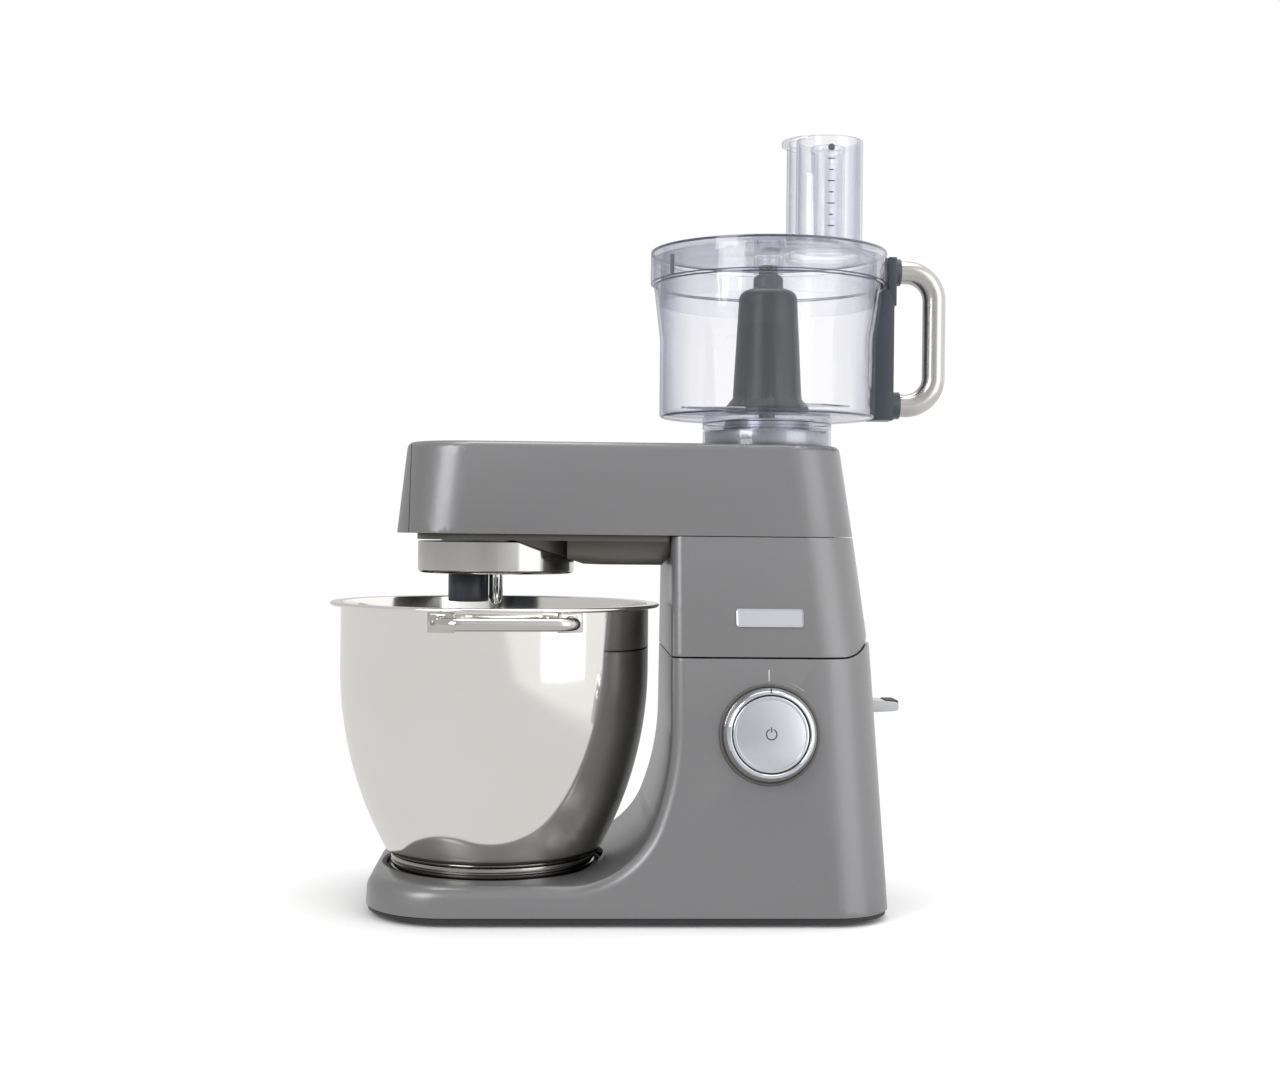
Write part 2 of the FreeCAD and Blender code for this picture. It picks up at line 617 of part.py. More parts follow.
def belt_outline(extra):
    """The belt's run round both pulleys, that much outside their rims."""
    big, small = f"(big_pulley + {extra})", f"(small_pulley + {extra})"
    lean = "acos((big_pulley - small_pulley) / (fp_x - pulley_x))"
    ux, uy = f"cos({lean})", f"sin({lean})"
    return [(f"fp_x + {small}", "0"), (f"fp_x + {small} * {ux}", f"{small} * {uy}", small, 1),
            (f"pulley_x + {big} * {ux}", f"{big} * {uy}"), (f"pulley_x - {big}", "0", big, 1),
            (f"pulley_x + {big} * {ux}", f"-{big} * {uy}", big, 1),
            (f"fp_x + {small} * {ux}", f"-{small} * {uy}"),
            (f"fp_x + {small}", "0", small, 1)]


def drive_train():
    """Motor, belt, gearbox, planetary hub and tool socket."""
    # hub and its shaft
    hub = turned("hub_blank", [
        ("6.05", "hub_low_z"), ("hub_radius - 3", "hub_low_z"), ("hub_radius", "hub_low_z + 3", "3", 1),
        ("hub_radius", "hub_top_z"), ("hub_radius - 2", "hub_top_z"),
        ("hub_radius - 2", "hub_low_z + 3"), ("10", "hub_low_z + 3"), ("10", "hub_low_z + 8"),
        ("6.05", "hub_low_z + 8")], "bowl_x")
    socket_hole = rod("socket_hole", "10.3", "20", "bowl_x - orbit", "0", "hub_low_z - 5")
    node(cut("planet_hub", hub, socket_hole))
    node(turned("hub_spindle", [
        ("0", "223"), ("3.4", "224", "4", 1), ("5.3", "228"), ("5.3", "hub_low_z - 0.5"),
        ("6", "hub_low_z"), ("6", "hub_top_z - 0.5"),
        ("9", "hub_top_z - 0.5"), ("9", "gear_z + gear_face + 1"), ("0", "gear_z + gear_face + 1")],
        "bowl_x"))
    node(gear("output_gear", 48, 1.25, 1.0, 9.0, "bowl_x", "gear_z"))
    # planet
    node(turned("tool_socket", [
        ("socket_bore", "socket_low_z"), ("socket_radius - 1.2", "socket_low_z"),
        ("socket_radius", "socket_low_z + 1.2", "1.2", 1), ("socket_radius", "hub_low_z - 0.5"),
        ("10", "hub_low_z - 0.5"), ("10", "hub_top_z - 2"), ("0", "hub_top_z - 2"),
        ("0", "socket_low_z + 32"), ("socket_bore", "socket_low_z + 32")], "bowl_x - orbit"))
    node(gear("planet_gear", 18, 1.5, 1.1, 10.0, "bowl_x - orbit", "hub_low_z + 10"))
    ring_gear = make("Part::Feature", "ring_gear")
    face = value("gear_face")
    blank = Part.makeCylinder(42, value("hub_top_z + 1.4 - hub_low_z - 9"))
    teeth = gear_shape(46, 1.5, 1.2, 0.7, face + 20, -0.12)
    ring_gear.Shape = blank.cut(teeth)
    ring_gear.Placement = Placement(Vector(value("bowl_x"), 0, value("hub_low_z + 9")), Rotation())
    node(ring_gear)
    # gearbox
    low = "hub_top_z + 1.4"
    round_wall = rod("gearbox_round", "44", "39", "bowl_x", "0", low)
    foot = rod("gearbox_flange", "48", "5", "bowl_x", "0", low)
    nose = rod("gearbox_nose", "20", "34.4", "pulley_x", "0", f"{low} + 4.6")
    hollow = rod("gearbox_hollow", "38", "28", "bowl_x", "0", f"{low} + 7")
    hollow_nose = rod("gearbox_hollow_nose", "13", "28", "pulley_x", "0", f"{low} + 7")
    shaft_hole = rod("gearbox_shaft_hole", "15", "60", "bowl_x", "0", "260")
    axle_hole = rod("gearbox_axle_hole", "5.05", "60", "pulley_x", "0", "278")
    node(cut("gearbox_housing", fuse("gearbox_block", round_wall, foot, nose),
             hollow, hollow_nose, shaft_hole, axle_hole))
    node(ring("hub_bearing", "15", "9.05", "7", "bowl_x", "0", low))
    # layshaft
    node(turned("layshaft_pulley", [
        ("5", "belt_z - 1.5"), ("big_pulley", "belt_z - 1.5"), ("big_pulley", "belt_z + belt_width + 1"),
        ("big_pulley - 4", "belt_z + belt_width + 1"), ("big_pulley - 4", "belt_z + 3"),
        ("12", "belt_z + 3"), ("12", "belt_z + belt_width"), ("5", "belt_z + belt_width")], "pulley_x"))
    axle = rod("layshaft_axle", "5", "belt_z + belt_width - 278.2", "pulley_x", "0", "278.2")
    pinion = gear("layshaft_teeth", 12, 1.25, 1.0, 4.5, "pulley_x", "gear_z", turn=15.0)
    node(fuse("layshaft", axle, pinion))
    # motor
    node(ring("motor_stator", "44", "28", "48", "fp_x", "0", "226"))
    core = rod("armature_core", "27", "52", "fp_x", "0", "224")
    shaft = rod("armature_shaft", "5", "130", "fp_x", "0", "203")
    node(fuse("motor_armature", core, shaft))
    node(ring("motor_pulley", "small_pulley", "5", "belt_width + 2", "fp_x", "0", "belt_z - 1"))
    hub_core = ring("fan_core", "12", "5", "12", "fp_x", "0", "284")
    blades = []
    for number in range(9):
        blade = box(f"fan_blade_{number}", "0", "0", "0", "28", "1.6", "12")
        turn = Placement(Vector(value("fp_x"), 0, 0), Rotation(Vector(0, 0, 1), number * 40))
        blades.append(turn_to(blade, turn.multiply(Placement(Vector(10, -0.8, 284), Rotation()))))
    node(fuse("cooling_fan", hub_core, *blades))
    core = ring("coupling_core", "9", "5", "14", "fp_x", "0", "336")
    lobes = []
    for number in range(3):
        lobe = box(f"coupling_lobe_{number}", "0", "0", "0", "8.5", "6", "8")
        turn = Placement(Vector(value("fp_x"), 0, 0), Rotation(Vector(0, 0, 1), number * 120))
        lobes.append(turn_to(lobe, turn.multiply(Placement(Vector(6, -3, 342), Rotation()))))
    clean = rod("coupling_bore", "5", "40", "fp_x", "0", "320")
    node(cut("outlet_coupling", fuse("coupling_block", core, *lobes), clean))
    node(ring("motor_bearing", "13", "5.05", "8", "fp_x", "0", "206"))
    outer = slab("belt_outer", belt_outline("0.3 + belt_thick"), "belt_z", "belt_width")
    inner = slab("belt_inner", belt_outline("0.3"), "belt_z - 1", "belt_width + 2")
    node(cut("drive_belt", outer, inner))
    # outlets
    node(ring("slow_outlet_collar", "18.9", "12", "8", "cover_x + 0.1", "0", "311", "X"))


def badge():
    """A blank plate on the sloping front face of the upper column."""
    tilt = math.degrees(math.atan(value(SLOPE_UP)))
    height = "218"
    item = slab("badge_plate", round_rect("-24.5", "24.5", "6.8", "2", "2"), "0.03", "1.3")
    face = f"-(mid_half_y - ({height} - seam_low_z + 1) * {SLOPE_UP} * (87 / 88))"
    node(place(item, "91", face, height, (1, 0, 0), 90 - tilt))


# ---- mixing bowl ----

def mixing_bowl():
    sheet_thick = "bowl_sheet"
    drop = "(bowl_radius - bowl_low_radius)"
    tall = "(bowl_straight_z - bowl_low_z)"
    big = f"(({drop}^2 + {tall}^2) / (2 * {drop}))"
    small = f"({big} - {sheet_thick})"
    node(turned("mixing_bowl", [
        ("0", "bowl_floor_z"), ("74", "bowl_floor_z"), ("bowl_low_radius", "bowl_low_z"),
        ("bowl_radius", "bowl_straight_z", big, 1), ("bowl_radius", "rim_z - 3"),
        ("rim_radius - 1", "rim_z - 3"), ("rim_radius - 1", "rim_z", "1.6", 1),
        ("bowl_radius - bowl_sheet", "rim_z"), (f"bowl_radius - {sheet_thick}", "bowl_straight_z"),
        (f"bowl_low_radius - {sheet_thick} * 0.9", "bowl_low_z + 0.8", small, -1),
        ("74", f"bowl_floor_z + {sheet_thick}"), ("0", f"bowl_floor_z + {sheet_thick}")], "bowl_x"))
    band = turned("foot_band", [
        ("72", "24.5"), ("bowl_foot_radius", "24.5"), ("bowl_foot_radius", "28"),
        ("bowl_foot_radius - 1.4", "29"), ("bowl_foot_radius - 1.4", "31.6"),
        ("bowl_foot_radius", "32.4"), ("bowl_foot_radius", "35.4"), ("74", "bowl_floor_z - 0.05"),
        ("72", "bowl_floor_z - 0.05")], "bowl_x")
    node(band)
    for side_name, turn in (("front", 0), ("rear", 180)):
        half, depth = "45.5", "bowl_handle_y - bowl_rod"
        loop = bent_rod(f"handle_loop_{side_name}", [
            (f"-{half}", "-107.9"), (f"-{half}", f"-({depth})"), (half, f"-({depth})"),
            (half, "-107.9")], ["13", "13"], "bowl_rod")
        swing = Placement(Vector(value("bowl_x"), 0, value("bowl_handle_z")),
                          Rotation(Vector(0, 0, 1), turn + value("bowl_handle_turn")))
        loop.Placement = swing
        pads = []
        for tag, x in (("left", "-55"), ("right", "37")):
            pad = box(f"pad_block_{side_name}_{tag}", "0", "0", "0", "18", "40", "14.4")
            pads.append(turn_to(pad, swing.multiply(
                Placement(Vector(value(x), -125, -7.5), Rotation()))))
        shell = ring(f"pad_shell_{side_name}", "bowl_radius + 1.6", "bowl_radius + 0.02", "40",
                     "bowl_x", "0", "bowl_handle_z - 20")
        plates = common(f"pad_plates_{side_name}", shell, fuse(f"pad_pair_{side_name}", *pads))
        core = rod(f"pad_core_{side_name}", "bowl_radius + 0.02", "60", "bowl_x", "0",
                   "bowl_handle_z - 30")
        node(cut(f"bowl_handle_{side_name}", fuse(f"handle_whole_{side_name}", loop, plates), core))


# ---- food processor ----

def fp_envelope(label, gap):
    return turned(label, [
        ("0", f"fp_base_z - {gap}"), ("fp_radius - fp_corner", f"fp_base_z - {gap}"),
        (f"fp_radius + {gap}", "fp_base_z + fp_corner", f"fp_corner + {gap}", 1),
        (f"fp_radius + {gap}", "fp_flare_z"), (f"fp_rim_radius + {gap}", "fp_rim_z"),
        ("lid_radius + 0.6", "fp_rim_z + 0.1"), ("lid_radius + 0.6", "500"), ("0", "500")], "fp_x")


def food_processor():
    # drive unit
    node(turned("drive_unit", [
        ("16", "head_top_z + 0.6"), ("47.5", "head_top_z + 0.6"), ("47.5", "357"), ("33.5", "357"),
        ("32", "366"), ("16", "366")], "fp_x"))
    node(turned("drive_collar", [
        ("47.7", "head_top_z + 0.6"), ("collar_radius", "head_top_z + 0.6"),
        ("collar_radius - 0.4", "357.2"), ("47.7", "357.2")], "fp_x"))
    # bowl
    node(turned("processor_bowl", [
        ("34.4", "fp_low_z"), ("collar_radius", "fp_low_z"), ("collar_radius", "fp_base_z"),
        ("fp_radius - fp_corner", "fp_base_z"), ("fp_radius", "fp_base_z + fp_corner", "fp_corner", 1),
        ("fp_radius", "fp_flare_z"), ("fp_rim_radius", "fp_rim_z"),
        ("fp_rim_radius - fp_sheet", "fp_rim_z"), ("fp_radius - fp_sheet", "fp_flare_z"),
        ("fp_radius - fp_sheet", "fp_floor_z + 3"),
        ("fp_radius - fp_sheet - 3", "fp_floor_z", "3", -1), ("12", "fp_floor_z"),
        ("12", "438"), ("9.5", "438"), ("9.5", "fp_base_z"), ("collar_radius - 2.2", "fp_base_z"),
        ("collar_radius - 2.2", "361"), ("34.4", "361")], "fp_x"))
    bracket_low = box("bracket_low", "176", "-12", "367", "17", "24", "100")
    bracket_high = box("bracket_high", "188.6", "-12", "455", "6", "24", "37")
    sockets = [rod(f"handle_socket_{tag}", "10.4", "9", "190", "0", z, "X")
               for tag, z in (("low", "handle_low_z"), ("high", "handle_high_z"))]
    block = fuse("bracket_block", bracket_low, bracket_high, *sockets)
    bores = [rod(f"socket_bore_{tag}", "handle_rod", "20", "195", "0", z, "X")
             for tag, z in (("low", "handle_low_z"), ("high", "handle_high_z"))]
    node(cut("handle_bracket", block, fp_envelope("bracket_relief", "0.02"), *bores))
    grip = bent_rod("processor_handle", [
        ("195", "handle_low_z"), ("handle_x", "handle_low_z"), ("handle_x", "handle_high_z"),
        ("195", "handle_high_z")], ["22", "22"], "handle_rod")
    grip.Placement = Placement(Vector(0, 0, 0), Rotation(Vector(1, 0, 0), 90))
    node(grip)
    # lid
    inner = "83"
    disc = turned("lid_disc", [
        ("0", "lid_top_z - 3"), (f"{inner} - 1.6", "lid_top_z - 3"), (f"{inner} - 1.6", "455"),
        (inner, "455"), (inner, "lid_top_z - 5.6"), ("lid_radius - 2", "lid_top_z - 5.6"),
        ("lid_radius - 2", "fp_rim_z + 0.5"), ("lid_radius", "fp_rim_z + 0.5"),
        ("lid_radius", "lid_top_z - 1.2"), ("lid_radius - 1.2", "lid_top_z", "1.2", 1),
        ("0", "lid_top_z")], "fp_x")
    cup = ring("lid_cup", "11.5", "9", "14", "fp_x", "0", "lid_top_z - 16")
    x0, x1 = "tube_x - tube_long / 2", "tube_x + tube_long / 2"
    tube = slab("lid_tube", round_rect(x0, x1, "tube_wide / 2", "26", "26"),
                "lid_top_z - 6", "tube_top_z - lid_top_z + 6")
    lip = slab("lid_lip", round_rect(f"{x0} - 4", x1, "tube_wide / 2", "26", "26"),
               "tube_top_z - 3", "3")
    bore = slab("lid_bore", round_rect(f"{x0} + 2", f"{x1} - 2", "tube_wide / 2 - 2", "24", "24"),
                "lid_top_z - 10", "tube_top_z - lid_top_z + 20")
    node(cut("processor_lid", fuse("lid_block", disc, cup, tube, lip), bore))
    # pushers
    node(turned("large_pusher", [
        ("11.2", "lid_top_z + 2"), ("pusher_radius - 1", "lid_top_z + 2"),
        ("pusher_radius", "lid_top_z + 3", "1", 1), ("pusher_radius", "tube_top_z + 1"),
        ("pusher_radius - 2", "tube_top_z + 1"), ("pusher_radius - 2", "lid_top_z + 4.4"),
        ("13", "lid_top_z + 4.4"), ("13", "tube_top_z - 8"), ("11.2", "tube_top_z - 8")], "pusher_x"))
    node(turned("small_pusher", [
        ("0", "lid_top_z + 4"), ("10.4", "lid_top_z + 4"), ("10.8", "tube_top_z - 7.6"),
        ("13.6", "tube_top_z - 7.6"), ("13.6", "tube_top_z - 4"), ("9", "tube_top_z - 4"),
        ("9", "lid_top_z + 7"), ("0", "lid_top_z + 7")], "pusher_x"))
    # blade
    node(turned("blade_hub", [
        ("12.6", "372.4"), ("32", "372.4"), ("32", "376"), ("26.5", "383"), ("22.5", "458"),
        ("17", "466", "8", 1), ("11.5", "468"), ("11.5", "474"), ("7.6", "478", "4", 1),
        ("7.6", "485"), ("0", "485"), ("0", "441"), ("12.6", "441")], "fp_x"))
    node(turned("blade_spindle", [
        ("0", "351"), ("8.8", "351"), ("8.8", "356"), ("6.4", "358"), ("6.4", "440.9"),
        ("0", "440.9")], "fp_x"))
    for tag, turn, z in (("low", 200, "373.4"), ("high", 20, "378.6")):
        blade = slab(f"blade_{tag}_sheet", [
            ("20", "-17"), ("blade_reach", "-6"), ("blade_reach - 3", "0", "8", 1),
            ("44", "10", "70", -1), ("20", "19", "60", 1)], "0", "1.4")
        placed = place(blade, "fp_x", "0", z, (0, 0, 1), turn)
        core = turned(f"blade_{tag}_core", [
            ("0", "370"), ("32.02", "370"), ("32.02", "376"), ("26.52", "383.01"),
            ("26.4", "390"), ("0", "390")], "fp_x")
        node(cut(f"blade_{tag}", placed, core))


def check_and_write():
    """Recomputes, checks every object and writes one file for each piece."""
    doc.recompute()
    failed = [item.Label for item in doc.Objects
              if "Invalid" in item.State or "Error" in item.State]
    if failed:
        raise RuntimeError("failed objects: " + ", ".join(failed))
    os.makedirs("parts", exist_ok=True)
    for item in NODES:
        shape = item.Shape
        if shape.isNull() or not shape.isValid() or not shape.Solids:
            raise RuntimeError("bad shape: " + item.Label)
        if len(shape.Solids) != 1:
            print("note:", item.Label, "has", len(shape.Solids), "solids")
        shape.exportStep(f"parts/{item.Label}.step")
        limits = shape.BoundBox
        print(f"{item.Label:22s} X {limits.XMin:7.1f} {limits.XMax:7.1f}  Y {limits.YMin:7.1f}"
              f" {limits.YMax:7.1f}  Z {limits.ZMin:7.1f} {limits.ZMax:7.1f}"
              f"  {shape.Volume / 1000:8.1f} cm3")


def main():
    lower_casing()
    upper_casing()
    head_casing()
    head_underside()
    base_pieces()
    hinge_pieces()
    control_pieces()
    lever_pieces()
    drive_train()
    badge()
    mixing_bowl()
    food_processor()
    check_and_write()


main()
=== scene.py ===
"""Looks for a tilting-head kitchen machine with a food processor on its rear outlet.

Each sub-assembly is a class that builds its own pieces on the frame and dresses them.
"""
from __future__ import annotations

import json
import logging
import math
from dataclasses import dataclass, field
from enum import Enum
from typing import Callable, Iterable, Sequence

import bpy
from mathutils import Matrix, Vector

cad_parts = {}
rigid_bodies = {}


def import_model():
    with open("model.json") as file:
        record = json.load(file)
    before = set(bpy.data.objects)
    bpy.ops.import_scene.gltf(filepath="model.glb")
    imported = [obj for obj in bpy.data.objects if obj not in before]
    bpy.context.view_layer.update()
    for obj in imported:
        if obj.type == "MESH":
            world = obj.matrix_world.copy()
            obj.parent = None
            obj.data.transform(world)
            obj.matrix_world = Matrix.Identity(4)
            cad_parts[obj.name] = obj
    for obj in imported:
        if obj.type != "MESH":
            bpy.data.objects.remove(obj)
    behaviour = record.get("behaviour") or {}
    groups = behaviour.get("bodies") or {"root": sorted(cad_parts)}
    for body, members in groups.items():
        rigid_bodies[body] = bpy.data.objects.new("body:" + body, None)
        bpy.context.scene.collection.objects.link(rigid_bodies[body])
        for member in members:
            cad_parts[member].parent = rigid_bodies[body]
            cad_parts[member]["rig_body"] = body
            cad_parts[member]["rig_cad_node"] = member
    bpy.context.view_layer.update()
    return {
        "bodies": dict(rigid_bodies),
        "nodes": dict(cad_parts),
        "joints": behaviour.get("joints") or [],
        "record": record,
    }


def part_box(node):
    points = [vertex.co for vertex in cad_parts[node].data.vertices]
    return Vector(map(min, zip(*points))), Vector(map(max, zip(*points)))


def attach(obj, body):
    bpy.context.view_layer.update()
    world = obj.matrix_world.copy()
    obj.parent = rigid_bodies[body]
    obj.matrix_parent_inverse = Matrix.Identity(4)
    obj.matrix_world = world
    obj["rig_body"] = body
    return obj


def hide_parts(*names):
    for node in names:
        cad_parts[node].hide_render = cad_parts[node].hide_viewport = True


LOG = logging.getLogger("kitchen_machine")
MM = 0.001
Point = tuple[float, float, float]


# ---- colour and node helpers ----

def linear(hex_code: str) -> tuple[float, float, float, float]:
    """Turns an sRGB hex colour into linear light.

    Args:
        hex_code: six hex digits, with or without a leading hash.

    Returns:
        Red, green, blue and an alpha of one.
    """
    digits = hex_code.lstrip("#")
    channels = [int(digits[i:i + 2], 16) / 255 for i in (0, 2, 4)]
    red, green, blue = [c / 12.92 if c <= 0.04045 else ((c + 0.055) / 1.055) ** 2.4
                        for c in channels]
    return (red, green, blue, 1.0)


def add_node(tree: bpy.types.NodeTree, kind: str, settings: dict | None = None,
             sockets: dict | None = None) -> bpy.types.Node:
    """Adds one shader node, sets its options and fills or links its inputs.

    Args:
        tree: the node tree that gets the node.
        kind: the node's type name.
        settings: attribute values of the node.
        sockets: input values by name or number; an output socket is linked instead.

    Returns:
        The new node.
    """
    new = tree.nodes.new(kind)
    for name, value in (settings or {}).items():
        setattr(new, name, value)
    for name, value in (sockets or {}).items():
        if isinstance(value, bpy.types.NodeSocket):
            tree.links.new(value, new.inputs[name])
        else:
            new.inputs[name].default_value = value
    return new


class Grain(Enum):
    """Which way a surface's fine texture runs."""

    EVEN = "even"
    ALONG_X = "along x"
    ALONG_Z = "along z"
    TURNED = "turned"


# how far each grain is drawn out: a small number makes long streaks along that axis
STRETCH = {Grain.EVEN: (1.0, 1.0, 1.0), Grain.ALONG_X: (0.02, 1.0, 1.0),
           Grain.ALONG_Z: (1.0, 1.0, 0.02), Grain.TURNED: (0.02, 0.02, 1.0)}


@dataclass(frozen=True)
class Finish:
    """One real surface: what it is made of and how it catches light.

    The colour drifts slowly between base and shade, over about wear_mm. grain_mm and
    grain_depth are the spacing and depth of the fine texture in millimetres, which also
    moves the roughness by gloss_change each way. axis is what a turned texture runs round.
    """

    name: str
    base: str
    shade: str
    metallic: float = 0.0
    roughness: float = 0.5
    ior: float | None = None
    grain_mm: float = 0.6
    grain_depth: float = 0.02
    grain: Grain = Grain.EVEN
    wear_mm: float = 60.0
    gloss_change: float = 0.06
    coat: float = 0.0
    coat_roughness: float = 0.1
    slot: str = "grey_paint"
    axis: Point = (0.0, 0.0, 0.0)

    def material(self) -> bpy.types.Material:
        """Returns this finish's material, made on first use."""
        found = bpy.data.materials.get(self.name)
        if found is not None:
            return found
        made = bpy.data.materials.new(self.name)
        made.use_nodes = True
        tree = made.node_tree
        tree.nodes.clear()
        place = add_node(tree, "ShaderNodeTexCoord")
        centred = add_node(tree, "ShaderNodeMapping", {}, {
            "Vector": place.outputs["Object"], "Location": tuple(-c for c in self.axis)})
        stretched = add_node(tree, "ShaderNodeMapping", {}, {
            "Vector": centred.outputs["Vector"], "Scale": STRETCH[self.grain]})
        fine = add_node(tree, "ShaderNodeTexNoise", {}, {
            "Vector": stretched.outputs["Vector"], "Scale": 1.0 / (self.grain_mm * MM),
            "Detail": 3.0})
        slow = add_node(tree, "ShaderNodeTexNoise", {}, {
            "Vector": centred.outputs["Vector"], "Scale": 1.0 / (self.wear_mm * MM), "Detail": 2.0})
        mixed = add_node(tree, "ShaderNodeMix", {"data_type": "RGBA", "blend_type": "MIX"}, {
            "Factor": slow.outputs["Fac"], "A": linear(self.base), "B": linear(self.shade)})
        gloss = add_node(tree, "ShaderNodeMapRange", {}, {
            "Value": fine.outputs["Fac"], "From Min": 0.3, "From Max": 0.7,
            "To Min": max(self.roughness - self.gloss_change, 0.01),
            "To Max": self.roughness + self.gloss_change})
        bump = add_node(tree, "ShaderNodeBump", {}, {
            "Height": fine.outputs["Fac"], "Strength": 0.35, "Distance": self.grain_depth * MM})
        surface = add_node(tree, "ShaderNodeBsdfPrincipled", {}, {
            "Base Color": mixed.outputs["Result"], "Roughness": gloss.outputs["Result"],
            "Metallic": self.metallic, "Coat Weight": self.coat,
            "Coat Roughness": self.coat_roughness, "Normal": bump.outputs["Normal"]})
        if self.ior is not None:
            surface.inputs["IOR"].default_value = self.ior
        out = add_node(tree, "ShaderNodeOutputMaterial", {}, {"Surface": surface.outputs["BSDF"]})
        out.is_active_output = True
        made.diffuse_color = linear(self.base)
        return made


@dataclass(frozen=True)
class ClearMoulding:
    """A thin clear plastic wall: it tints what is behind it, most where it is seen edge-on.

    face and edge are the tints of one surface seen square-on and edge-on. The shine grows
    from least to most the same way. flow_mm and flow_depth_mm give the moulding's waviness.
    """

    name: str
    face: str
    edge: str
    roughness: float = 0.04
    least_shine: float = 0.035
    most_shine: float = 0.62
    haze: float = 0.008
    flow_mm: float = 18.0
    flow_depth_mm: float = 0.6
    slot: str = "clear_plastic"

    def material(self) -> bpy.types.Material:
        """Returns this finish's material, made on first use."""
        found = bpy.data.materials.get(self.name)
        if found is not None:
            return found
        made = bpy.data.materials.new(self.name)
        made.use_nodes = True
        tree = made.node_tree
        tree.nodes.clear()
        place = add_node(tree, "ShaderNodeTexCoord")
        flow = add_node(tree, "ShaderNodeTexNoise", {}, {
            "Vector": place.outputs["Object"], "Scale": 1.0 / (self.flow_mm * MM), "Detail": 1.0})
        bump = add_node(tree, "ShaderNodeBump", {}, {
            "Height": flow.outputs["Fac"], "Strength": 0.4,
            "Distance": self.flow_depth_mm * MM})
        turn = add_node(tree, "ShaderNodeLayerWeight", {}, {"Blend": 0.5})
        steep = add_node(tree, "ShaderNodeMath", {"operation": "POWER"}, {
            0: turn.outputs["Facing"], 1: 3.0})
        tint = add_node(tree, "ShaderNodeMix", {"data_type": "RGBA"}, {
            "Factor": steep.outputs["Value"], "A": linear(self.face), "B": linear(self.edge)})
        shine = add_node(tree, "ShaderNodeMapRange", {}, {
            "Value": steep.outputs["Value"], "To Min": self.least_shine, "To Max": self.most_shine})
        through = add_node(tree, "ShaderNodeBsdfTransparent", {}, {"Color": tint.outputs["Result"]})
        milky = add_node(tree, "ShaderNodeBsdfDiffuse", {}, {"Color": linear(self.face)})
        gloss = add_node(tree, "ShaderNodeBsdfAnisotropic", {}, {
            "Color": linear("FFFFFF"), "Roughness": self.roughness,
            "Normal": bump.outputs["Normal"]})
        body = add_node(tree, "ShaderNodeMixShader", {}, {
            0: self.haze, 1: through.outputs["BSDF"], 2: milky.outputs["BSDF"]})
        whole = add_node(tree, "ShaderNodeMixShader", {}, {
            0: shine.outputs["Result"], 1: body.outputs["Shader"], 2: gloss.outputs["BSDF"]})
        add_node(tree, "ShaderNodeOutputMaterial", {}, {"Surface": whole.outputs["Shader"]})
        made.diffuse_color = linear(self.edge)
        return made


